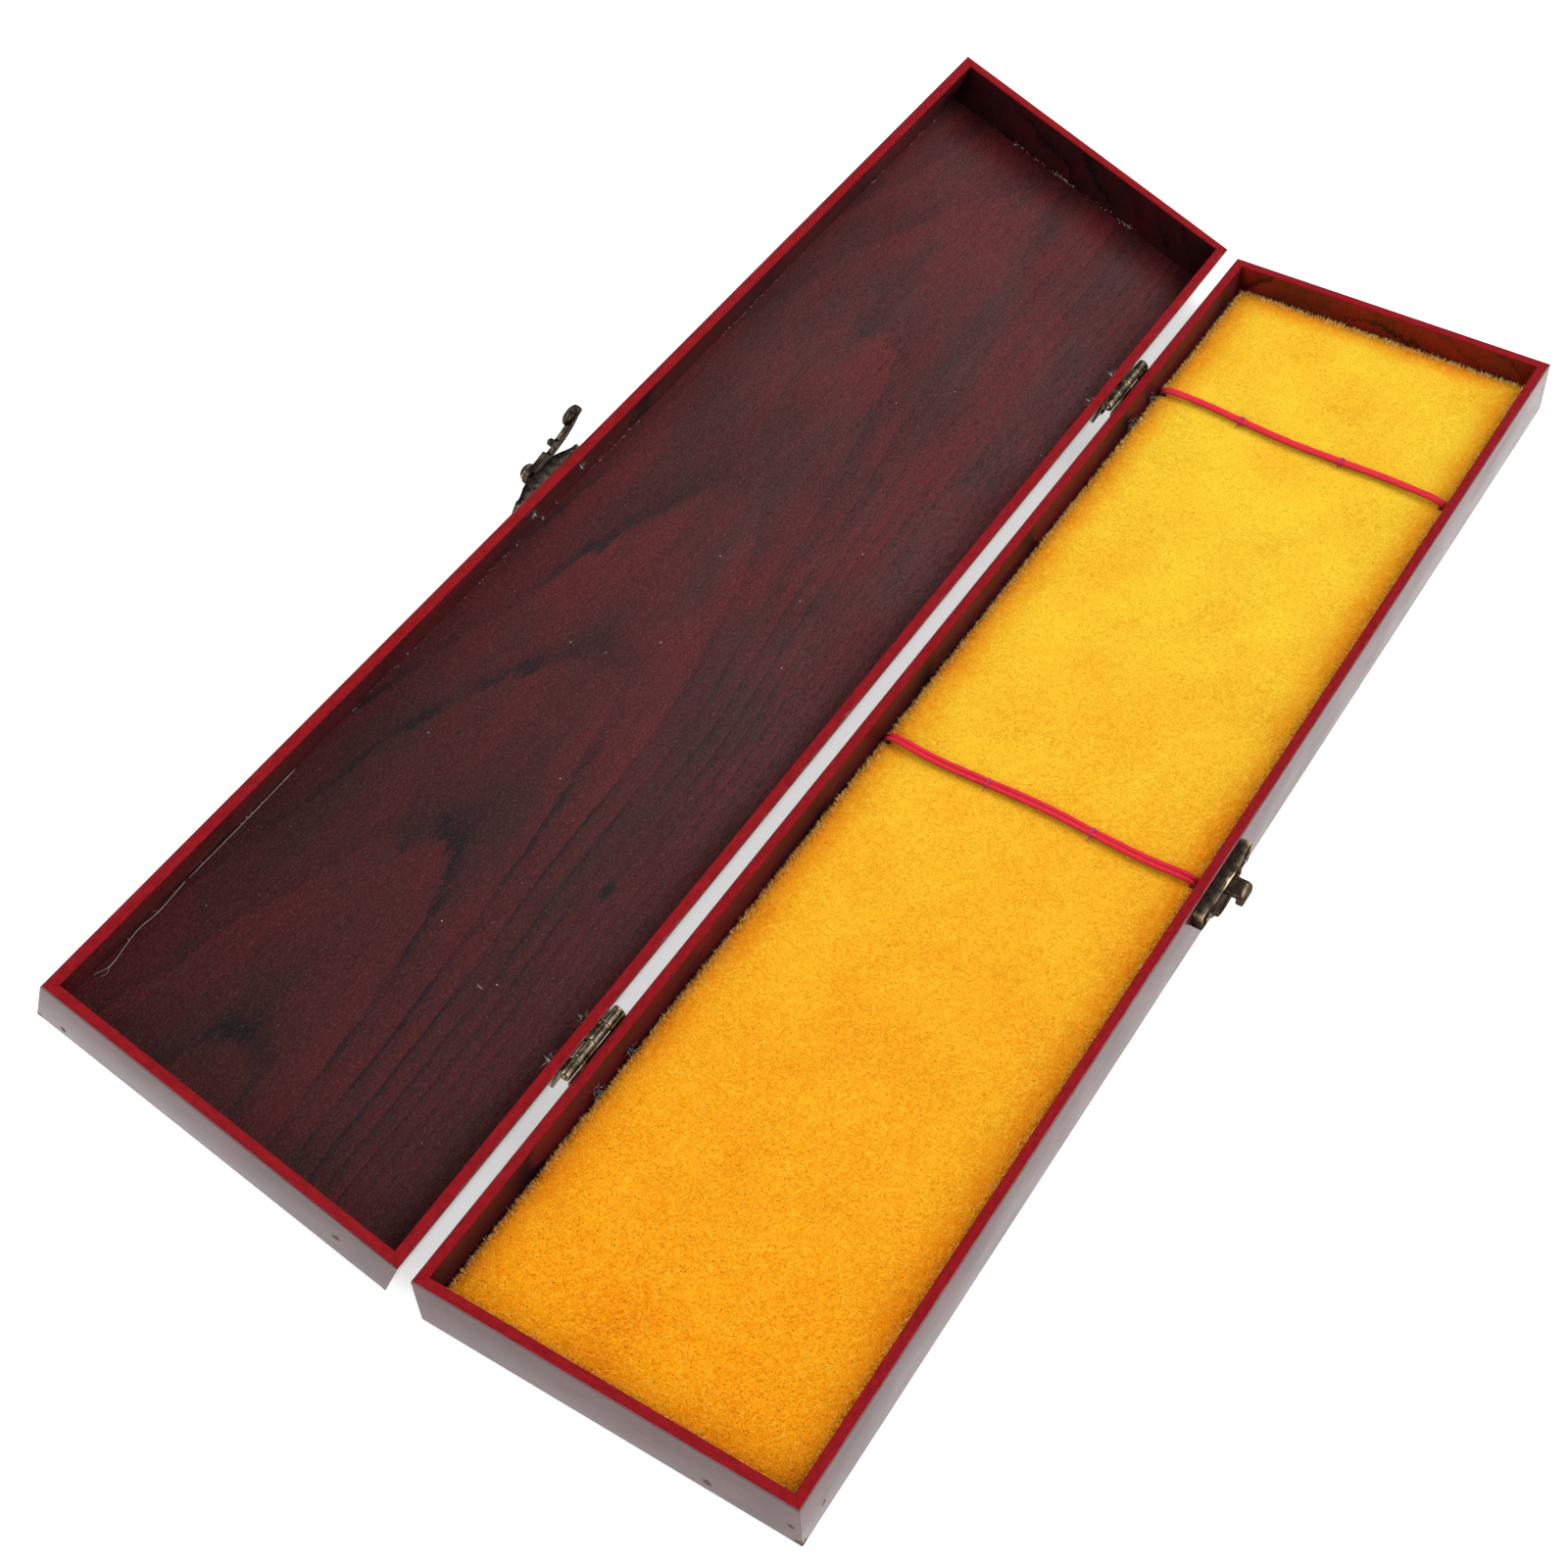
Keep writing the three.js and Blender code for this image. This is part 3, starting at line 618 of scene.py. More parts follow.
def buildWalls():
    # own frame of a wall: X along it, Y from the outer face inwards, Z from the panel side to the rim
    seed = 1
    for body, tray, height, right, left in (
        ("base", baseTray, box["baseHeight"], "catch", "hinge"),
        ("lid", lidTray, box["lidHeight"], "hinge", "latch"),
    ):
        for side, spot, span in (
            ("near_end", shift(0, -halfLength, 0), box["width"]),
            ("far_end", shift(0, halfLength, 0) @ turn(180, "Z"), box["width"]),
            (right, shift(halfWidth, 0, 0) @ turn(90, "Z"), box["length"]),
            (left, shift(-halfWidth, 0, 0) @ turn(-90, "Z"), box["length"]),
        ):
            cadName = f"{body}_{side}_wall"
            wall = makeObject(cadName + "_film", *wallMesh(span, height, seed), tray @ spot, sharp=50)
            upright = span < box["length"]
            figure = {"axis": 6.0 - 3.0 * seed, "apex": 11.0 * seed, **wallFigures["long"]}
            if upright:
                figure = {"axis": 4.0 * seed, "apex": 0.0, **wallFigures["end"]}
            material = wallMaterial(cadName, height, seed * 1.7, figure, upright)
            dress(wall, material, body, "wall_film", cadName)
            seed += 1


def panelMesh(thickness):
    # rings from the middle of one face round the edge to the middle of the other, their points one every
    # 8 mm. The grain runs along X in the material, so the panel is drawn a quarter turn round
    face = [(12, 0.0), (panelEdge * 2, 0.0), (panelEdge * 0.3, panelEdge * 0.3), (0.0, panelEdge * 2)]
    rings = []
    for inset, z in face + [(inset, thickness - z) for inset, z in reversed(face)]:
        x, y = innerX - inset, innerY - inset
        ring = []
        for side in (1, -1):
            ring += [(side * (2 * y * i / 40 - y), -side * x, z) for i in range(40)]
            ring += [(side * y, -side * (x - 2 * x * i / 10), z) for i in range(10)]
        rings.append(ring)
    return loft(rings)


def buildPanels():
    for body, tray in (("base", baseTray), ("lid", lidTray)):
        spec = panels[body]
        cadName = spec["node"]
        panel = makeObject(cadName + "_film", *panelMesh(spec["thick"]), tray @ turn(90, "Z"), sharp=50)
        material = panelMaterial(cadName + "Film", spec["seed"], spec["figure"], spec["dustAndNearShade"], spec["knots"])
        dress(panel, material, body, "panel_film", cadName)


buildWalls()
buildPanels()
print("walls and panels built")


# Plush lining

plush = {
    "top": 8.3,
    "bottom": 6.3,
    "ground": 7.6,
    "edgeGap": 1.2,
    "rounding": 0.7,
    # bands along the edges: where each begins and is full, across the box and along it
    # the band of painted shade beside the walls
    "wallShadeBand": (28.0, 35.5, 154.0, 160.0),
    "gapBand": (34.2, 36.4, 158.8, 161.0),
    "creamBand": (32.4, 36.0, 157.0, 160.6),
    "cell": 2.2,
    "perSquareMm": 9.5,
    "pieces": 4,
    "length": (0.60, 0.95),
    "underCord": 0.85,
    "cordReach": 1.2,
    "tuftScale": 1.5,
    "tuftGap": 0.11,
    "tuftGrow": 0.27,
    "thick": 0.048,
    "lean": 0.50,
    "fringePerMm": 24.0,
    "fringeBand": 1.05,
    "fringeThick": 0.066,
    "fringeLength": (0.7, 1.7),
    "cream": (1.0, 0.83, 0.36),
    "shadow": (0.22, 0.055, 0.001),
    "near": (0.97, 0.370, 0.0010),
    "far": (0.93, 0.640, 0.034),
    "pale": (0.93, 0.660, 0.040),
    "orange": (0.95, 0.285, 0.0006),
    "root": (0.80, 0.250, 0.001),
    "hollow": (0.74, 0.60, 0.40),
    "paintedGlint": (1.0, 0.76, 0.10),
    "speck": (0.035, 0.014, 0.002),
    "sheen": (1.0, 0.6, 0.12),
}
edgeX, edgeY = innerX - plush["edgeGap"], innerY - plush["edgeGap"]

cordLayout = {
    "level": 8.85,
    "legX": 36.5,
    "radius": 0.9,
    "bend": 0.9,
    "room": 0.3,
    "dip": 0.08,
    "legBottom": 2.3,
    "cords": (
        {"name": "near", "hingeY": -9.6, "catchY": -11.7, "stitches": (-11.7, 12.8),
         "bows": (-0.5, 0.4, -0.4)},
        {"name": "far", "hingeY": 117.5, "catchY": 113.7, "stitches": (-15.6, 10.4),
         "bows": (0.5, -0.6, 0.5)},
    ),
}
# the plush is cut out where a cord goes down beside it
notchX = cordLayout["legX"] - cordLayout["radius"] - cordLayout["room"]
notchHalf = cordLayout["radius"] + cordLayout["room"]


def cordYAt(cord, x):
    share = (x + cordLayout["legX"]) / (2 * cordLayout["legX"])
    return cord["hingeY"] + share * (cord["catchY"] - cord["hingeY"])


def plushMaterial(name, kind):
    place = startMaterial(name)
    x, y, z = node("SeparateXYZ", {0: place}).outputs
    farX, farY = calc("ABSOLUTE", x), calc("ABSOLUTE", y)

    def nearEdge(lowX, highX, lowY, highY):
        return larger(spread(farX, lowX, highX), spread(farY, lowY, highY))

    small = clouds((0.8, 0.8, 0.2), 3, 0.6)
    hair = clouds((4.5, 4.5, 1.0), 2, 0.5)
    # painted light and shade: deeper orange towards the near end and in a band along the edges where the
    # walls shade it, paler towards the far end where more light falls
    nearness = spread(y, 70.0, -150.0, smooth=False)
    edge = nearEdge(*plush["wallShadeBand"])
    patch = spread(clouds((0.045, 0.045, 0.045), 5, 0.6), 0.30, 0.70, -0.16, 0.16)
    edgeShare = timesPlus(edge, 0.72, patch)
    paintedShadeShare = calc("ADD", timesPlus(nearness, 0.12, 0.08), edgeShare, clamp=True)
    colour = blend(nearness, plush["far"], plush["near"])
    colour = blend(paintedShadeShare, colour, plush["orange"])
    # paler patches of fibre, painted lighter still towards the far end where more light falls
    light = times(spread(small, 0.40, 0.75), timesPlus(nearness, -0.34, 0.50))
    colour = blend(light, colour, plush["pale"])
    colour = blend(spread(hair, 0.50, 0.78, 0.0, 0.3), colour, plush["pale"])
    # painted glints where single fibres catch the light, and painted shade in the small hollows between them
    fleck = clouds((2.4, 2.4, 0.7), 2, 0.6, (4, 4, 0))
    hollow = blend(1.0, colour, plush["hollow"], "MULTIPLY")
    hollowShadeShare = timesPlus(edge, -0.5, 0.60)
    colour = blend(times(spread(fleck, 0.50, 0.32), hollowShadeShare), colour, hollow)
    colour = blend(spread(fleck, 0.52, 0.70, 0.0, 0.38), colour, plush["paintedGlint"])
    if kind == "ground":
        # the cut edges are tufted, with painted shadow in the gaps between the tufts and painted shade down
        # the sheet's sides
        tufts = clouds((1.6, 1.6, 0.4), 2, 0.5)
        gaps = times(nearEdge(*plush["gapBand"]), spread(tufts, 0.44, 0.60, 0.12, 0.70))
        colour = blend(gaps, colour, plush["shadow"])
        side = spread(z, plush["ground"] - 0.5, plush["bottom"] + 0.2, 0.0, 0.9)
        colour = blend(side, colour, plush["shadow"])
    if kind == "pile":
        low = plush["ground"] - 0.05
        # painted shade: each fibre darker and more orange towards its root, down in the pile
        colour = blend(spread(z, low, low + 0.5, 0.35, 0.0, smooth=False), colour, plush["root"])
    if kind == "fringe":
        # orange at the root, painted shade; cream at the tip, partly the fibres' own tone and partly painted
        # light
        colour = blend(spread(z, 7.2, 7.6, 0.8, 0.0), colour, plush["orange"])
        brink = nearEdge(*plush["creamBand"])
        colour = blend(times(spread(z, 7.45, 7.95), timesPlus(brink, 0.92, 0.0)), colour, plush["cream"])
    # dark specks, most of them towards the near end
    cells = node("TexVoronoi", {"Vector": stretched((1, 1, 0)), "Scale": 1.6}, feature="F1")
    pick = node("SeparateColor", {0: cells.outputs["Color"]}).outputs[0]
    least = spread(y, -160.0, -10.0, 0.10, 0.93, smooth=False)
    chosen = calc("DIVIDE", calc("SUBTRACT", pick, least, clamp=True), 0.6, clamp=True)
    specks = times(spread(cells.outputs["Distance"], 0.24, 0.12), chosen)
    colour = blend(times(specks, 0.9), colour, plush["speck"])
    normal = bump(plus(hair, small), 0.6, 0.9) if kind == "ground" else None
    return endMaterial(
        colour, 0.9, normal, Specular_IOR_Level=0.06,
        Sheen_Weight=0.07, Sheen_Roughness=0.5, Sheen_Tint=(*plush["sheen"], 1),
    )


def inNotch(x, y):
    for cord in cordLayout["cords"]:
        if x > notchX and abs(y - cord["catchY"]) < notchHalf:
            return True
        if x < -notchX and abs(y - cord["hingeY"]) < notchHalf:
            return True
    return False


def edgeRise(x, y):
    # 1 at the cut edge, 0 where the plush lies flat
    rim = min(edgeX - abs(x), edgeY - abs(y))
    return rim, (1 - min(rim, plush["rounding"]) / plush["rounding"]) ** 2


def gridLines(edge, *others):
    count = round(2 * edge / plush["cell"])
    lines = {-edge, edge, -edge + plush["rounding"], edge - plush["rounding"], *others}
    return sorted(lines | {-edge + 2 * edge * i / count for i in range(1, count)})


def buildPlushSheet(material):
    xs = gridLines(edgeX, -notchX, notchX)
    ys = gridLines(edgeY, *(cord[end] + side * notchHalf for cord in cordLayout["cords"]
                            for end in ("hingeY", "catchY") for side in (-1, 1)))
    index, points, faces = {}, [], []

    def corner(i, j):
        if (i, j) not in index:
            x, y = xs[i], ys[j]
            wave = 0.16 * noise.noise(Vector((x * 0.07, y * 0.07, 1.0)))
            wave += 0.05 * noise.noise(Vector((x * 0.5, y * 0.5, 5.0)))
            index[i, j] = len(points)
            points.append((x, y, plush["ground"] + wave - 0.55 * edgeRise(x, y)[1]))
        return index[i, j]

    for i in range(len(xs) - 1):
        for j in range(len(ys) - 1):
            if not inNotch((xs[i] + xs[i + 1]) / 2, (ys[j] + ys[j + 1]) / 2):
                faces.append((corner(i, j), corner(i + 1, j), corner(i + 1, j + 1), corner(i, j + 1)))
    mesh = bpy.data.meshes.new("plush_sheet")
    mesh.from_pydata([(x * mm, y * mm, z * mm) for x, y, z in points], [], faces)
    shape = bmesh.new()
    shape.from_mesh(mesh)
    lifted = bmesh.ops.extrude_face_region(shape, geom=shape.faces[:])
    for vertex in (v for v in lifted["geom"] if isinstance(v, bmesh.types.BMVert)):
        vertex.co.z = plush["bottom"] * mm
    bmesh.ops.recalc_face_normals(shape, faces=shape.faces)
    shape.to_mesh(mesh)
    shape.free()
    return dress(placeObject("plush_sheet", mesh, 60), material, "base", "yellow_plush", "plush_lining")


def fibre(points, faces, root, tip, thick, bow=None):
    # a thin three-sided spike, bent once if bow is given
    along = (tip - root).normalized()
    side = along.cross(Vector((0.3, 0.5, 0.8))).normalized()
    other = along.cross(side)
    start = len(points)
    levels = [(root, thick)] if bow is None else [(root, thick), (bow, thick * 0.75)]
    for centre, radius in levels:
        for k in range(3):
            angle = 2.0944 * k
            points.append(tuple(centre + side * (radius * math.cos(angle))
                                + other * (radius * math.sin(angle))))
    if bow is not None:
        for k in range(3):
            faces.append((start + k, start + (k + 1) % 3, start + 3 + (k + 1) % 3, start + 3 + k))
    points.append(tuple(tip))
    last = len(points) - 1
    for k in range(3):
        faces.append((last - 3 + k, last - 3 + (k + 1) % 3, last))


def buildPile(material):
    rng = random.Random(42)
    pieces = []
    reach = 2 * edgeY / plush["pieces"]
    for part in range(plush["pieces"]):
        lowY = -edgeY + part * reach
        points, faces = [], []
        for _ in range(int(2 * edgeX * reach * plush["perSquareMm"])):
            x, y = rng.uniform(-edgeX, edgeX), rng.uniform(lowY, lowY + reach)
            if inNotch(x, y):
                continue
            rim, rise = edgeRise(x, y)
            # the pile parts into tufts at the cut edges
            tuft = noise.noise(Vector((x * plush["tuftScale"], y * plush["tuftScale"], 3.0)))
            if tuft > plush["tuftGap"] + rim * plush["tuftGrow"]:
                continue
            nap = noise.noise(Vector((x * 0.05, y * 0.05, 9.0))) * 1.5
            leanX = math.sin(nap) * 0.4 + rng.gauss(0, 1) * plush["lean"]
            leanY = -0.35 + rng.gauss(0, 1) * plush["lean"]
            long = rng.uniform(*plush["length"])
            if min(abs(y - cordYAt(cord, x)) for cord in cordLayout["cords"]) < plush["cordReach"]:
                long = min(long, plush["underCord"])
            root = Vector((x, y, plush["ground"] - 0.12 - 0.5 * rise))
            tip = root + Vector((leanX, leanY, 1.0)).normalized() * long
            fibre(points, faces, root, tip, plush["thick"] * rng.uniform(0.7, 1.2))
        pile = makeObject(f"plush_pile_{part + 1}", points, faces, sharp=180, closed=False)
        pieces.append(dress(pile, material, "base", "yellow_plush"))
        print("pile", part + 1, len(faces), "faces")
    return pieces


def buildFringe(material):
    # longer loose fibres at the cut edges, where the pile stands up
    rng = random.Random(7)
    points, faces = [], []

    def tuft(x, y, outX, outY, reach, drop):
        root = Vector((x, y, plush["ground"] - drop))
        sweep = Vector((outX, outY, 0)) * rng.uniform(0.1, 1.0)
        sweep += Vector((rng.gauss(0, 0.4), rng.gauss(0, 0.4), 0))
        way = (sweep + Vector((0, 0, rng.uniform(0.35, 1.1)))).normalized() * reach
        bow = root + way * 0.5 + Vector((0, 0, 0.12))
        tip = root + way + Vector((0, 0, -0.15 * rng.random()))
        tip.x = max(-innerX + 0.1, min(innerX - 0.1, tip.x))
        tip.y = max(-innerY + 0.1, min(innerY - 0.1, tip.y))
        fibre(points, faces, root, tip, plush["fringeThick"] * rng.uniform(0.6, 1.1), bow)

    low, high = plush["fringeLength"]
    for side in (-1, 1):
        for _ in range(int(2 * edgeY * plush["fringePerMm"])):
            y = rng.uniform(-edgeY, edgeY)
            inset = min(4.0, abs(rng.gauss(0, plush["fringeBand"])))
            clump = 0.5 + 0.5 * noise.noise(Vector((side * 4.0, y * 0.7, 0)))
            if not inNotch(side * (edgeX - inset), y):
                longest = rng.uniform(low, low + (high - low) * (0.3 + 0.7 * clump))
                tuft(side * (edgeX - inset), y, side, 0, longest, 0.55 * rng.random() + 0.25)
        for _ in range(int(2 * edgeX * plush["fringePerMm"])):
            x = rng.uniform(-edgeX, edgeX)
            y = side * (edgeY - min(4.0, abs(rng.gauss(0, plush["fringeBand"]))))
            tuft(x, y, 0, side, rng.uniform(low, high * 0.9), 0.55 * rng.random() + 0.25)
    fringe = makeObject("plush_fringe", points, faces, sharp=180, closed=False)
    print("fringe", len(faces), "faces")
    return dress(fringe, material, "base", "yellow_plush")


sheet = buildPlushSheet(plushMaterial("plushGround", "ground"))
pilePieces = buildPile(plushMaterial("plushPile", "pile"))
pilePieces.append(buildFringe(plushMaterial("plushFringe", "fringe")))
print("plush laid")


# Board under the plush

board = {
    "dark": (0.030, 0.014, 0.008),
    "light": (0.085, 0.042, 0.022),
}


def boardMaterial():
    startMaterial("backingBoard")
    fuzz = clouds(1.6, 5, 0.7)
    layers = clouds((0.2, 0.2, 3.0), 3)
    colour = blend(spread(fuzz, 0.3, 0.7), board["dark"], board["light"])
    colour = blend(spread(layers, 0.4, 0.7, 0.0, 0.5), colour, board["dark"])
    return endMaterial(colour, 0.9, bump(fuzz, 0.08, 0.8))


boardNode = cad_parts["lining_board"]
boardNode.data.materials.clear()
boardNode.data.materials.append(boardMaterial())


# Elastic cords and their stitches

elastic = {
    "red": (0.74, 0.003, 0.014),
    "pink": (0.90, 0.020, 0.060),
    "dark": (0.27, 0.001, 0.004),
    "leg": (0.06, 0.0005, 0.001),
    "sheen": (1.0, 0.25, 0.35),
    "strand": 0.56,
    "apart": 0.57,
    "braid": 2.6,
    "single": 1.05,
    "flat": 0.68,
}

thread = {
    "pink": (0.80, 0.05, 0.22),
    "deep": (0.42, 0.01, 0.09),
    "radius": 0.15,
    "turns": 2.6,
    "pitch": 0.34,
    "tail": 1.1,
    "stepsPerTurn": 16,
    "tall": {"near": 0.62, "far": 0.76},
}


def elasticMaterial():
    place = startMaterial("redElastic")
    # the cover's yarn runs slantwise round the rubber
    slant = bands(stretched((1, 1.0, 1.4)), Scale=elastic["braid"], Distortion=1.2, Detail=2.0,
                  Detail_Scale=2.0)
    fuzz = clouds((0.6, 3.0, 3.0), 3)
    colour = blend(spread(slant, 0.2, 0.9), elastic["red"], elastic["pink"])
    colour = blend(spread(fuzz, 0.42, 0.75, 0.0, 0.5), colour, elastic["red"])
    # painted shade: dark where the cord lies in the pile, and darker still down the legs
    height = node("SeparateXYZ", {0: place}).outputs[2]
    level = cordLayout["level"]
    colour = blend(times(spread(height, level + 0.22, level - 0.30), 0.85), colour, elastic["dark"])
    colour = blend(spread(height, level - 0.55, level - 1.2), colour, elastic["leg"])
    return endMaterial(
        colour, 0.5, bump(plus(slant, fuzz), 0.12, 0.9), Specular_IOR_Level=0.30,
        Sheen_Weight=0.10, Sheen_Roughness=0.4, Sheen_Tint=(*elastic["sheen"], 1),
    )


def threadMaterial():
    place = startMaterial("stitchThread")
    ply = bands(place, Scale=6.0, Distortion=2.0)
    return endMaterial(blend(ply, thread["deep"], thread["pink"]), 0.5, bump(ply, 0.05))


def cordRoute(cord):
    level, leg, bend = cordLayout["level"], cordLayout["legX"], cordLayout["bend"]

    def onSpan(x, aside, height):
        return x, cordYAt(cord, x) + aside, height

    def downLeg(x, y):
        return [(x, y, level - bend - 0.1), (x, y, level - 3 * bend), (x, y, cordLayout["legBottom"])]

    points = downLeg(-leg, cord["hingeY"])[::-1] + [onSpan(bend - leg, 0, level - 0.1)]
    anchors = (-leg, *cord["stitches"], leg)
    for i, bow in enumerate(cord["bows"]):
        points.append(onSpan((anchors[i] + anchors[i + 1]) / 2, bow, level))
        if i < len(cord["stitches"]):
            points.append(onSpan(cord["stitches"][i], 0, level - cordLayout["dip"]))
    points += [onSpan(leg - bend, 0, level - 0.1)] + downLeg(leg, cord["catchY"])
    return smoothRoute(points, 12)


def ribs(i, angle):
    return 1.0 + 0.035 * math.cos(7 * angle) + 0.02 * math.sin(i * 1.1)


def buildCords():
    material = elasticMaterial()
    for cord in cordLayout["cords"]:
        route = cordRoute(cord)
        if cord["name"] == "near":
            # two strands side by side, drawn together at each stitch
            parts = []
            for side in (-1, 1):
                shifted = []
                for point, ahead, across, top in routeFrames(route):
                    pinch = min(abs(point.x - x) for x in cord["stitches"])
                    apart = elastic["apart"] * (0.80 + 0.20 * min(1.0, pinch / 3.0))
                    lift = 0.06 * side * math.sin(point.x * 0.13)
                    shifted.append(point + across * (side * apart) + top * lift)
                parts.append(tube(shifted, elastic["strand"], 14, 0.92))
            points, faces = joined(parts)
        else:
            points, faces = tube(route, cordLayout["radius"] * elastic["single"], 28, elastic["flat"], ribs)
        piece = makeObject(f"elastic_{cord['name']}", points, faces, sharp=60)
        dress(piece, material, "base", "red_elastic", f"elastic_cord_{cord['name']}")


def buildStitches():
    material = threadMaterial()
    rng = random.Random(3)
    wide = cordLayout["radius"] + thread["radius"] * 1.2
    perTurn = thread["stepsPerTurn"]
    steps = int(thread["turns"] * perTurn)
    for cord in cordLayout["cords"]:
        slope = (cord["catchY"] - cord["hingeY"]) / (2 * cordLayout["legX"])
        along = Vector((1, slope, 0)).normalized()
        across = Vector((0, 0, 1)).cross(along)
        tallest = wide * thread["tall"][cord["name"]]
        for number, x in enumerate(cord["stitches"], 1):
            centre = Vector((x, cordYAt(cord, x), cordLayout["level"] - cordLayout["dip"]))
            route = []
            for i in range(steps + 1):
                angle = 2 * math.pi * i / perTurn - 0.6 * math.pi
                forward = (i / steps - 0.5) * thread["turns"] * thread["pitch"]
                round_ = across * (wide * math.cos(angle)) + Vector((0, 0, tallest * math.sin(angle)))
                route.append(centre + along * forward + round_)
            # the start dives into the pile, and a short tail stays out on the near side
            route.insert(0, route[0] + Vector((0, 0, -0.5)) - across * 0.1)
            tail = [centre - across * (wide * 0.9) + Vector((0, 0, -0.25))]
            for k in range(1, 4):
                sway = along * rng.uniform(-0.35, 0.25) + Vector((0, 0, -0.10 - 0.05 * k))
                tail.append(tail[-1] - across * thread["tail"] / 3 + sway)
            wound = tube(smoothRoute(route, 2), thread["radius"], 8)
            points, faces = joined([wound, tube(smoothRoute(tail, 4), thread["radius"] * 0.8, 6)])
            piece = makeObject(f"stitch_{cord['name']}_{number}", points, faces, sharp=180)
            dress(piece, material, "base", "stitch_thread", f"cord_stitch_{cord['name']}_{number}")


buildCords()
buildStitches()
print("cords and stitches built")


# Metal finishes

bronze = {
    "dark": (0.020, 0.0155, 0.0120),
    "mid": (0.075, 0.056, 0.040),
    "bright": (0.50, 0.37, 0.22),
    "rim": (0.30, 0.25, 0.18),
    "roughness": (0.12, 0.32),
    "wear": (0.54, 0.62, 0.9),
}

# painted shade: a darker copy of the bronze, used for the latch pan where less light falls
latchShadedFinish = {
    "dark": (0.007, 0.0055, 0.0045),
    "mid": (0.028, 0.022, 0.017),
    "bright": (0.42, 0.33, 0.20),
    "rim": (0.22, 0.18, 0.13),
    "roughness": (0.14, 0.34),
    "wear": (0.56, 0.66, 0.9),
}

hingeFinish = {
    "dark": (0.012, 0.0095, 0.0060),
    "mid": (0.100, 0.076, 0.052),
    "bright": (0.50, 0.41, 0.29),
    "rim": (0.40, 0.34, 0.26),
    "roughness": (0.10, 0.26),
    "wear": (0.518, 0.60, 0.85),
}

steel = {
    "clean": (0.24, 0.23, 0.22),
    "dull": (0.06, 0.055, 0.05),
}


def bronzeMaterial(name, finish, grain):
    startMaterial(name)
    patch = clouds(0.55 * grain, 3, 0.55)
    pit = clouds(3.2 * grain, 3, 0.6)
    edges = node("NewGeometry").outputs["Pointiness"]
    colour = blend(spread(patch, 0.35, 0.62), finish["dark"], finish["mid"])
    colour = blend(spread(pit, 0.58, 0.74, 0.0, 0.30), colour, finish["bright"])
    low, high, share = finish["wear"]
    colour = blend(spread(edges, low, high, 0.0, share), colour, finish["bright"])
    # painted shade: darker where the surface is concave, in creases and between the hinge knuckles
    colour = blend(spread(edges, 0.492, 0.44, 0.0, 0.85), colour, finish["dark"])
    smooth, rough = finish["roughness"]
    return endMaterial(
        colour, spread(patch, 0.3, 0.7, rough, smooth), bump(pit, 0.06, 0.9),
        Metallic=0.92, Specular_Tint=(*finish["rim"], 1),
    )


def steelMaterial():
    startMaterial("nailSteel")
    stain = clouds(1.6, 4)
    colour = blend(spread(stain, 0.4, 0.65), steel["dull"], steel["clean"])
    return endMaterial(colour, spread(stain, 0.35, 0.7, 0.45, 0.22), bump(clouds(5.0, 2), 0.02), Metallic=1.0)


agedBronze = bronzeMaterial("agedBronze", bronze, 0.9)
latchShadedBronze = bronzeMaterial("latchShadedBronze", latchShadedFinish, 1.0)
hingeMetal = bronzeMaterial("hingeMetal", hingeFinish, 1.3)
nailMetal = steelMaterial()


# Nails and the splinters round their tips

nail = {
    "radius": 0.42,
    "head": 1.0,
    "headHeight": 0.45,
    "point": 1.2,
    "leafSeat": 0.8,
    "catchSeat": 2.5,
    "latchSeat": 1.45,
    "hingeShow": 2.0,
    "panShow": 1.2,
    "leafDrop": 5.8,
    "leafReach": 5.5,
    "panReach": 8.4,
    "catchZ": 11.1,
    "latchZ": 17.5,
}


def nailMesh(length):
    # along +X, the head's underside at zero, the head towards -X
    head, shank, tall, point = nail["head"], nail["radius"], nail["headHeight"], nail["point"]
    profile = [(-tall, 0.0), (-tall * 0.97, head * 0.3), (-tall * 0.78, head * 0.68)]
    profile += [(-tall * 0.45, head * 0.92), (-0.06, head), (0.0, head * 0.95)]
    profile += [(0.0, shank * 1.15), (0.15, shank)]
    profile += [(length - point, shank), (length - point * 0.5, shank * 0.62), (length, 0.03)]
    return lathe(profile, 20)


def nailSpots():
    # name, body, side of the box, seat of the head off the wall, point that shows inside, y, z
    seat, show, drop = nail["leafSeat"], nail["hingeShow"], nail["leafDrop"]
    spots = []
    for end, sign in (("near", -1), ("far", 1)):
        for number, side in ((1, -1), (2, 1)):
            y = sign * box["hingeStation"] + side * nail["leafReach"]
            for body, z in (("base", box["axisZ"] - drop), ("lid", box["axisZ"] + drop)):
                spots.append((f"hinge_{end}_{body}_nail_{number}", body, -1, seat, show, y, z))
    for end, side in (("near", -1), ("far", 1)):
        y = box["latchStation"] + side * nail["panReach"]
        spots.append((f"catch_nail_{end}", "base", 1, nail["catchSeat"], nail["panShow"], y, nail["catchZ"]))
        spots.append((f"latch_nail_{end}", "lid", 1, nail["latchSeat"], nail["panShow"], y, nail["latchZ"]))
    return spots


def buildNails():
    for cadName, body, side, seat, show, y, z in nailSpots():
        spot = shift(side * (halfWidth + seat), y, z) @ turn(180 if side > 0 else 0, "Z")
        if body == "lid":
            spot = openLid @ spot
        piece = makeObject(cadName + "_turned", *nailMesh(seat + box["wall"] + show), spot, sharp=35)
        dress(piece, nailMetal, body, "nail_steel", cadName)


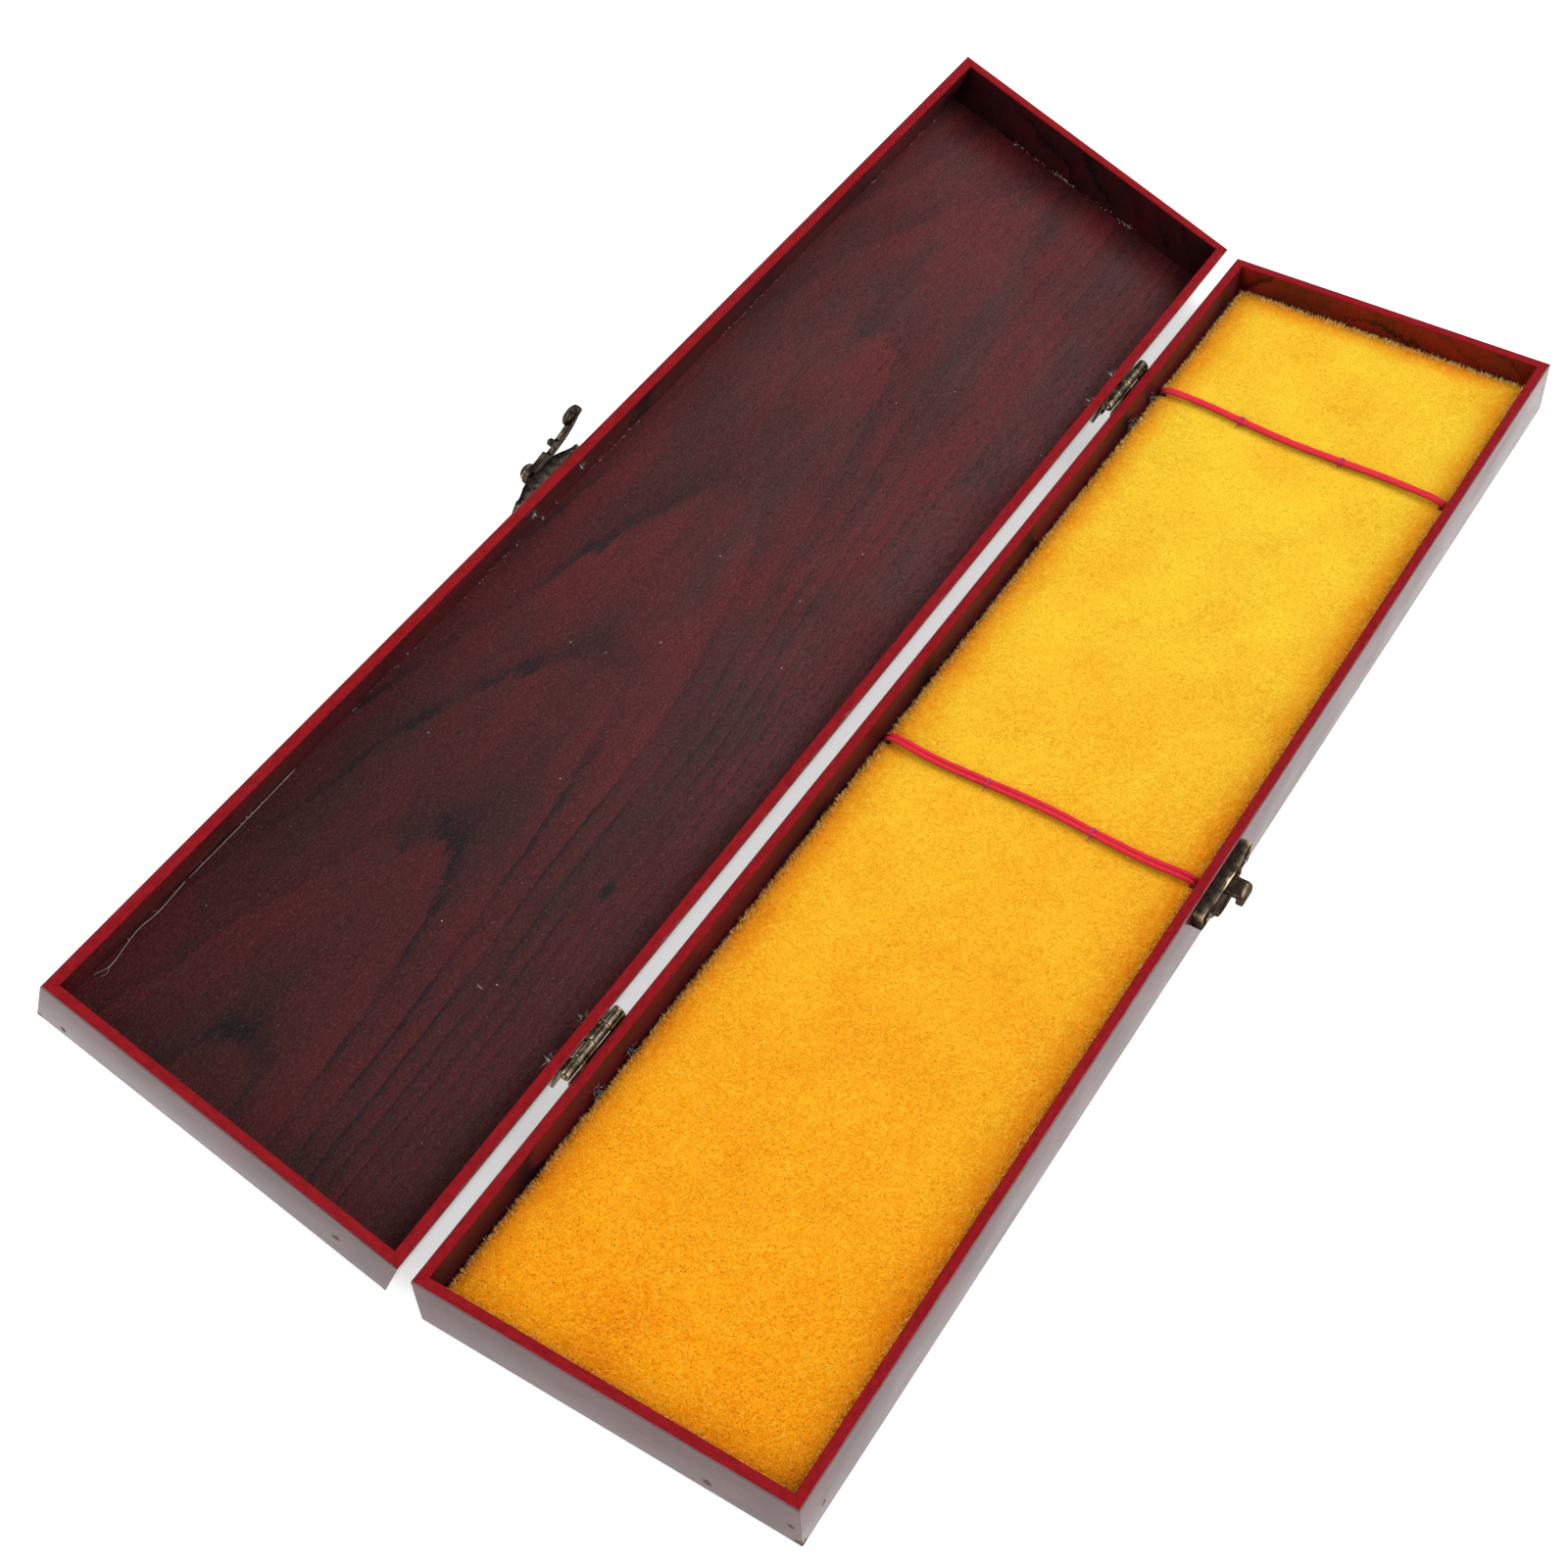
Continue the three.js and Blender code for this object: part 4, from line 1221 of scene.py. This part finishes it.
splinter = {
    "count": 13,
    "reach": (0.8, 2.2),
    "rise": (0.4, 1.8),
    "width": 0.22,
    "thin": 0.06,
    "atPan": 0.62,
    "dark": (0.014, 0.009, 0.008),
    "raw": (0.50, 0.44, 0.40),
}


def splinterMaterial():
    startMaterial("tornFilm")
    torn = clouds(1.9, 3, 0.7)
    colour = blend(spread(torn, 0.52, 0.66), splinter["dark"], splinter["raw"])
    return endMaterial(colour, 0.4, bump(torn, 0.1), Coat_Weight=1.0, Coat_Roughness=0.12)


def sliver(points, faces, foot, knee, tip, across, half):
    # a curled flake: a flat wedge, bent once, coming to a point
    start = len(points)
    thin = (knee - foot).cross(across).normalized() * splinter["thin"]
    for centre, wide in ((foot, half), (knee, half * 0.62)):
        for a, b in ((-1, -1), (1, -1), (1, 1), (-1, 1)):
            points.append(tuple(centre + across * (wide * a) + thin * b))
    points.append(tuple(tip))
    faces.append((start + 3, start + 2, start + 1, start))
    for k in range(4):
        m = (k + 1) % 4
        faces.append((start + k, start + m, start + 4 + m, start + 4 + k))
        faces.append((start + 4 + k, start + 4 + m, start + 8))


def buildSplinters():
    rng = random.Random(11)
    material = splinterMaterial()
    for body in ("base", "lid"):
        points, faces = [], []
        for cadName, whose, side, seat, show, y, z in nailSpots():
            if whose != body:
                continue
            big = 1.0 if "hinge" in cadName else splinter["atPan"]
            inward = Vector((-side, 0, 0))
            for k in range(splinter["count"]):
                angle = 2 * math.pi * (k + rng.uniform(-0.35, 0.35)) / splinter["count"]
                out = Vector((0, math.cos(angle), math.sin(angle)))
                across = Vector((0, -math.sin(angle), math.cos(angle)))
                foot = Vector((side * (innerX + 0.05), y, z)) + out * nail["radius"] * rng.uniform(0.8, 1.3)
                reach, rise = rng.uniform(*splinter["reach"]) * big, rng.uniform(*splinter["rise"]) * big
                knee = foot + out * reach * 0.35 + inward * rise * 0.75
                tip = foot + out * reach + inward * rise + across * rng.gauss(0, 0.25)
                if body == "base":
                    tip.z, knee.z = max(tip.z, plush["top"] + 0.1), max(knee.z, plush["top"])
                half = splinter["width"] * rng.uniform(0.5, 1.1) * big
                sliver(points, faces, foot, knee, tip, across, half)
        place = openLid if body == "lid" else None
        piece = makeObject(f"nail_splinters_{body}", points, faces, place, sharp=30)
        dress(piece, material, body, "wall_film")


buildNails()
buildSplinters()
print("nails driven")


# Hinges

hinge = {
    "bevel": 0.12,
    "sharp": 35,
    "pinHalf": 9.2,
    "pinRadius": 0.5,
    "clear": 1.5,
    "cellAcross": 0.8,
    "cells": 10,
    "cutsEachWay": 8,
}


def copyLeaf(cadName):
    # the CAD leaf with its flat faces joined again and its edges rounded
    name = cadName + "_rolled"
    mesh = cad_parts[cadName].data.copy()
    mesh.name = name
    shape = bmesh.new()
    shape.from_mesh(mesh)
    bmesh.ops.remove_doubles(shape, verts=shape.verts, dist=1e-6)
    bmesh.ops.dissolve_limit(shape, angle_limit=math.radians(2), verts=shape.verts, edges=shape.edges)
    shape.to_mesh(mesh)
    shape.free()
    leaf = placeObject(name, mesh, hinge["sharp"])
    bevel = leaf.modifiers.new("edge", "BEVEL")
    bevel.width = hinge["bevel"] * mm
    bevel.segments = 2
    bevel.limit_method = "ANGLE"
    bevel.angle_limit = math.radians(hinge["sharp"])
    return leaf


def cutGrid(thing, matrix, station, side):
    # cuts the flat of a leaf into small faces, so that its worn edges stay narrow
    mesh = settle(thing, thing.name)
    shape = bmesh.new()
    shape.from_mesh(mesh)
    many = hinge["cutsEachWay"]
    cuts = [((0, station + y, 0), (0, 1, 0)) for y in range(-many, many + 1)]
    for k in range(hinge["cells"]):
        cuts.append(((0, 0, box["axisZ"] + side * (hinge["clear"] + hinge["cellAcross"] * k)), (0, 0, 1)))
    for spot, normal in cuts:
        place = matrix @ Vector([v * mm for v in spot])
        bmesh.ops.bisect_plane(shape, geom=shape.verts[:] + shape.edges[:] + shape.faces[:], dist=1e-7,
                               plane_co=place, plane_no=matrix.to_3x3() @ Vector(normal))
    shape.to_mesh(mesh)
    shape.free()
    mesh.shade_smooth()
    mesh.set_sharp_from_angle(angle=math.radians(hinge["sharp"]))


def buildHinges():
    end, r = hinge["pinHalf"], hinge["pinRadius"]
    half = [(end - 0.2, r), (end - 0.08, 0.44), (end, 0.30), (end, 0.0)]
    profile = [(-along, radius) for along, radius in reversed(half)] + half
    for name, sign in (("near", -1), ("far", 1)):
        station = sign * box["hingeStation"]
        for body, opened, side in (("base", baseTray, -1), ("lid", openLid, 1)):
            cadName = f"hinge_{name}_{body}_leaf"
            leaf = copyLeaf(cadName)
            cutGrid(leaf, opened, station, side)
            dress(leaf, hingeMetal, body, "hinge_metal", cadName)
        cadName = f"hinge_{name}_pin"
        spot = shift(box["axisX"], station, box["axisZ"])
        pin = makeObject(cadName + "_turned", *lathe(profile, 20, "Y"), spot, sharp=hinge["sharp"])
        dress(pin, hingeMetal, "base", "hinge_metal", cadName)


buildHinges()
print("hinges built")


# Stamped pans, keeper, hook and rivet

pan = {
    "depth": 2.8,
    "length": 22.0,
    "end": 4.6,
    "middle": 8.4,
    "lobe": 4.2,
    "shoulder": 2.2,
    "corner": 1.2,
    "catchDrop": 0.6,
    "latchRise": 0.9,
    "tabFrom": 6.3,
    "tabBend": 0.7,
    "tabDrop": 0.45,
    "thinEnd": 1.05,
    "swellFrom": 10.6,
    "swell": 6.4,
}

# a pan's section as (inset, drop): a flat skirt, a tight corner with a thin raised edge, the field
panSection = (
    (0.06, 2.70), (0.0, 2.50), (0.0, 1.5), (0.0, 0.24), (0.04, 0.11), (0.12, 0.03), (0.22, 0.0),
    (0.34, 0.0), (0.44, 0.05), (0.54, 0.22), (0.66, 0.32), (1.0, 0.34), (1.9, 0.34),
)

keeper = {
    "width": 4.6,
    "reach": 6.9,
    "sheet": 1.15,
    "height": 2.95,
    "drop": 1.0,
    "nose": 1.62,
    "round": 1.25,
    "inner": 0.4,
    "root": 0.7,
}

hook = {
    "pivotRise": 4.5,
    "reach": 17.8,
    "thick": 1.2,
    "back": 3.55,
    "eye": 2.4,
    "eyeCut": -27,
    "web": 2.6,
    "neck": 1.3,
    "claw": 1.7,
    "clawTop": -7.328,
    "clawEnd": -2.5,
    "ball": 0.9,
    "ballThick": 1.5,
    "shoulder": -5.6,
    "webInner": 2.6,
    "knob": 1.65,
    "knobThick": 2.5,
    "knobLength": 5.2,
    "rest": 51.4,
    "grain": 0.13,
    "softened": 12,
}

rivet = {
    "foot": 1.35,
    "shank": 0.8,
    "head": 2.0,
    "dome": 1.3,
}


def panOutline(inset):
    end, lobe, corner = pan["length"] / 2 - inset, pan["lobe"] - inset, pan["corner"]
    low, mid = -(pan["end"] - inset), -(pan["middle"] - inset)
    out = [(end, -inset)]
    follow(
        out,
        ((-end, -inset), 14),
        ((-end, low + corner), 2),
        ((-end, low), (corner - end, low), 4),
        ((-lobe - pan["shoulder"], low), 3),
        ((-lobe, low), (-lobe, (low + mid) / 2), 7),
        ((-lobe, mid), (0, mid), 8),
        ((lobe, mid), (lobe, (low + mid) / 2), 8),
        ((lobe, low), (lobe + pan["shoulder"], low), 7),
        ((end - corner, low), 3),
        ((end, low), (end, low + corner), 4),
        ((end, -inset), 2),
    )
    return out[:-1]


def panDepth(y, kind):
    # the catch pan is a bar with lower nail tabs, the latch pan swells from its ends to its middle
    if kind == "catch":
        step = max(0.0, min(1.0, (abs(y) - pan["tabFrom"]) / pan["tabBend"]))
        return pan["depth"] - pan["tabDrop"] * step * step * (3 - 2 * step)
    rise = max(0.0, min(1.0, (pan["swellFrom"] - abs(y)) / pan["swell"]))
    return pan["thinEnd"] + (pan["depth"] - pan["thinEnd"]) * rise * rise * (3 - 2 * rise)


def panMesh(kind):
    rings = []
    for inset, drop in panSection:
        ring = []
        for y, z in panOutline(inset):
            share = panDepth(y, kind) / pan["depth"]
            ring.append(((pan["depth"] - drop) * share, y, z if kind == "catch" else -z))
        rings.append(ring)
    return loft(rings, capStart=False)


def keeperMesh():
    # a bent strip that stands out from the pan and turns down at its thick rounded nose
    top = pan["catchDrop"] - keeper["drop"]
    low, root = top - keeper["height"], pan["depth"] - keeper["root"]
    reach, bend, inner = keeper["reach"], keeper["round"], keeper["inner"]
    back = reach - keeper["nose"]
    outer = [(root, top)]
    follow(outer, ((reach - bend, top), 6))
    outer += arc(reach - bend, top - bend, bend, 90, 0, 8)[1:]
    outer += [(reach, low + 0.35), (reach - 0.14, low + 0.08), (reach - 0.4, low)]
    outer += [(back + 0.3, low), (back + 0.06, low + 0.1), (back, low + 0.35)]
    outer += arc(back - inner, top - keeper["sheet"] - inner, inner, 0, 90, 4)
    outer.append((root, top - keeper["sheet"]))
    half = keeper["width"] / 2
    cx, cz = sum(p[0] for p in outer) / len(outer), sum(p[1] for p in outer) / len(outer)
    ends = [(half, 0.24), (half - 0.08, 0.10), (half - 0.28, 0.0)]
    rings = []
    for y, grow in [(-y, grow) for y, grow in ends] + ends[::-1]:
        ring = []
        for x, z in outer:
            away = Vector((x - cx, z - cz))
            away = away.normalized() * min(grow, away.length * 0.3)
            ring.append((x - away.x, y, z - away.y))
        rings.append(ring)
    return loft(rings)


def buildPans():
    points, faces = joined([panMesh("catch"), keeperMesh()])
    spot = shift(halfWidth, box["latchStation"], box["baseHeight"] - pan["catchDrop"])
    piece = makeObject("catch_pan", points, faces, spot, sharp=60)
    dress(piece, agedBronze, "base", "aged_bronze", "catch_plate")
    spot = openLid @ shift(halfWidth, box["latchStation"], lidRim + pan["latchRise"])
    piece = makeObject("latch_pan", *panMesh("latch"), spot, sharp=60)
    dress(piece, latchShadedBronze, "lid", "aged_bronze", "latch_plate")


def hookOutline():
    shoulder, top, low = hook["shoulder"], hook["clawTop"], hook["clawTop"] - hook["claw"]
    inner, outerX = hook["webInner"], hook["webInner"] + hook["web"]
    knobZ = hook["knob"] - hook["reach"]
    stem = (low + knobZ) / 2
    out = arc(0, 0, hook["eye"], hook["eyeCut"], 216, 24)
    eyeEnd = out[0]
    follow(
        out,
        ((-hook["neck"], 0.5 * shoulder), (-hook["neck"], shoulder), 6),
        ((inner, shoulder), 4),
        ((inner, top), 3),
        ((hook["clawEnd"], top), 5),
    )
    out += arc(hook["clawEnd"], top - hook["claw"] / 2, hook["claw"] / 2, 90, 270, 8)[1:]
    follow(
        out,
        ((inner - hook["web"] / 2, low), 4),
        ((inner - hook["web"] / 2, stem), (-0.7 * hook["knob"], knobZ), 8),
    )
    out += arc(0, knobZ, hook["knob"], 180, 360, 12)
    follow(
        out,
        ((outerX, stem), (outerX, low), 8),
        ((outerX, shoulder), 4),
        ((outerX, 0.5 * shoulder), eyeEnd, 8),
    )
    return out[:-1]


def castTogether(name, parts):
    # joins overlapping closed shapes into one skin and softens it, as a casting is
    thing = makeObject(name, *joined(parts), sharp=180)
    remesh = thing.modifiers.new("skin", "REMESH")
    remesh.mode = "VOXEL"
    remesh.voxel_size = hook["grain"] * mm
    smooth = thing.modifiers.new("soften", "SMOOTH")
    smooth.factor = 0.5
    smooth.iterations = hook["softened"]
    settle(thing, name).shade_smooth()
    return thing


def buildHook():
    # drawn hanging down from its eye, then turned to where it stands in the photograph
    thick = hook["thick"]
    plate = loft([[(x, y, z) for y, z in hookOutline()] for x in (0.0, thick / 2, thick)])
    halfBall, halfKnob = hook["ballThick"] / 2, hook["knobThick"] / 2
    clawZ = hook["clawTop"] - hook["claw"] / 2
    ball = ellipsoid((halfBall, hook["clawEnd"], clawZ), (halfBall, hook["ball"], hook["ball"]))
    knobZ = hook["knobLength"] / 2 - hook["reach"]
    knob = ellipsoid((halfKnob, 0, knobZ), (halfKnob, hook["knob"], hook["knobLength"] / 2))
    eye = hook["eye"]
    boss = lathe([(0.0, 0.0), (0.0, eye * 0.98), (thick * 1.02, eye * 0.92), (thick * 1.1, 0.0)], 32)
    piece = castTogether("hook_cast", [plate, ball, knob, boss])
    spot = openLid @ shift(halfWidth + hook["back"], box["latchStation"], lidRim + hook["pivotRise"])
    piece.data.transform(spot @ turn(hook["rest"], "X"))
    dress(piece, agedBronze, "latch_hook", "aged_bronze", "latch_hook")


def buildRivet():
    foot, shank, head = rivet["foot"], rivet["shank"], rivet["head"]
    bottom = hook["back"] + hook["thick"] + 0.15
    profile = [(foot, 0.0), (foot, 1.2), (1.45, 1.3), (2.0, 1.3), (2.05, shank), (bottom, shank)]
    profile += [(bottom, 1.9), (bottom + 0.10, head)]
    for i in range(1, 9):
        angle = math.pi * i / 16
        profile.append((bottom + 0.10 + rivet["dome"] * math.sin(angle), head * math.cos(angle)))
    spot = openLid @ shift(halfWidth, box["latchStation"], lidRim + hook["pivotRise"])
    piece = makeObject("rivet_domed", *lathe(profile, 32), spot, sharp=40)
    dress(piece, agedBronze, "lid", "aged_bronze", "latch_rivet")


buildPans()
buildHook()
buildRivet()
print("catch and latch built")


# Glue left in the corners of the lid

glue = {
    "milky": (0.36, 0.31, 0.29),
    "clear": (0.14, 0.09, 0.085),
    "size": (0.07, 0.22),
    "string": 0.07,
    "alongLatch": 260,
    "alongFar": 170,
}

# threads of glue by the latch wall, in the lid tray's own frame
glueStrings = (
    ((-37.6, -153.7, 2.6), (-36.4, -150.6, 3.2), (-37.1, -145.8, 2.5), (-37.5, -141.4, 2.9),
     (-37.2, -136.8, 2.5), (-37.6, -128.4, 2.6)),
    ((-36.4, -150.6, 3.2), (-36.0, -152.0, 2.6), (-36.6, -153.0, 2.1)),
    ((-37.7, -127.0, 2.0), (-37.6, -112.0, 2.3), (-37.8, -96.0, 2.1)),
)


def glueMaterial():
    startMaterial("driedGlue")
    cloud = clouds(2.2, 3)
    colour = blend(cloud, glue["clear"], glue["milky"])
    return endMaterial(colour, spread(cloud, 0.3, 0.7, 0.30, 0.12), Coat_Weight=0.5)


def buildGlue():
    # own frame of the lid tray: rim up, the latch wall at -X, the far end at +Y
    rng = random.Random(19)
    floor = box["lidPanel"]
    parts = []

    def dab(x, y, z, size):
        radii = (size * rng.uniform(0.7, 1.3), size * rng.uniform(0.7, 1.6), size * rng.uniform(0.5, 0.9))
        parts.append(ellipsoid((x, y, z), radii, 6, 8))

    for _ in range(glue["alongLatch"]):
        y = rng.uniform(-innerY + 3, innerY - 2)
        if noise.noise(Vector((y * 0.05, 3.0, 0))) + rng.uniform(-0.25, 0.25) > -0.02:
            x = -innerX + rng.uniform(0.0, 0.5)
            dab(x, y, floor + abs(rng.gauss(0, 0.25)), rng.uniform(*glue["size"]) * 0.8)
    for _ in range(glue["alongFar"]):
        x = rng.uniform(-innerX + 12, innerX - 18)
        if noise.noise(Vector((x * 0.16, 8.0, 0))) + rng.uniform(-0.2, 0.2) > 0.0:
            y = innerY - abs(rng.gauss(0, 0.25))
            dab(x, y, floor + abs(rng.gauss(0, 0.3)), rng.uniform(*glue["size"]))
    for points in glueStrings:
        parts.append(tube(smoothRoute(points, 8), glue["string"], 6))
    piece = makeObject("glue_beads", *joined(parts), lidTray, sharp=180)
    dress(piece, glueMaterial(), "lid", "panel_film")


buildGlue()
print("glue laid")


# Floor, world and lights

studio = {
    "floorDark": (0.85, 0.85, 0.85),
    "floor": (0.86, 0.86, 0.86),
    "glow": 0.50,
    "flat": 2.0,
    "outer": 3.2,
    "lip": 1.1,
    "world": (1.0, 1.0, 1.0),
    "worldStrength": 0.25,
    "aim": (-0.03, 0, 0),
}

# name, place, size, power, colour
softboxes = (
    ("backSoftbox", (0.55, 0.98, 1.10), (1.2, 0.8), 13.0, (1.0, 0.99, 0.98)),
    ("rightSoftbox", (1.35, 0.45, 1.10), (1.2, 1.1), 17.0, (1.0, 1.0, 1.0)),
    ("leftSoftbox", (-1.3, 0.1, 1.2), (1.2, 1.2), 15.0, (1.0, 1.0, 1.0)),
    ("frontSoftbox", (-0.45, -1.25, 1.05), (1.4, 0.9), 14.0, (1.0, 1.0, 1.0)),
)


def floorMaterial():
    startMaterial("paleFloor")
    return endMaterial(
        blend(clouds(0.004, 2), studio["floorDark"], studio["floor"]), 0.9, Specular_IOR_Level=0.1,
        Emission_Color=(1, 1, 1, 1), Emission_Strength=studio["glow"],
    )


def buildFloor():
    # a pale sweep: flat under the box, curving up all round far outside the lights
    rings = []
    for i in range(17):
        bend = i / 16 * math.pi / 2
        radius = studio["flat"] + (studio["outer"] - studio["flat"]) * math.sin(bend)
        height = 1000 * studio["lip"] * (1 - math.cos(bend)) - 0.05
        angles = [k * math.pi / 36 for k in range(72)]
        rings.append([(1000 * radius * math.cos(a), 1000 * radius * math.sin(a), height) for a in angles])
    floor = makeObject("studioFloor", *loft(rings, capEnd=False), closed=False, sharp=180)
    floor.data.materials.append(floorMaterial())


def buildLights():
    world = bpy.data.worlds.new("studioWorld")
    scene.world = world
    world.use_nodes = True
    background = world.node_tree.nodes["Background"]
    background.inputs[0].default_value = (*studio["world"], 1)
    background.inputs[1].default_value = studio["worldStrength"]
    for name, place, size, power, colour in softboxes:
        data = bpy.data.lights.new(name, "AREA")
        data.shape = "RECTANGLE"
        data.size, data.size_y = size
        data.energy = power
        data.color = colour
        lamp = bpy.data.objects.new(name, data)
        scene.collection.objects.link(lamp)
        lamp.location = place
        away = Vector(place) - Vector(studio["aim"])
        lamp.rotation_euler = away.to_track_quat("Z", "Y").to_euler()


buildFloor()
buildLights()
print("studio lit")
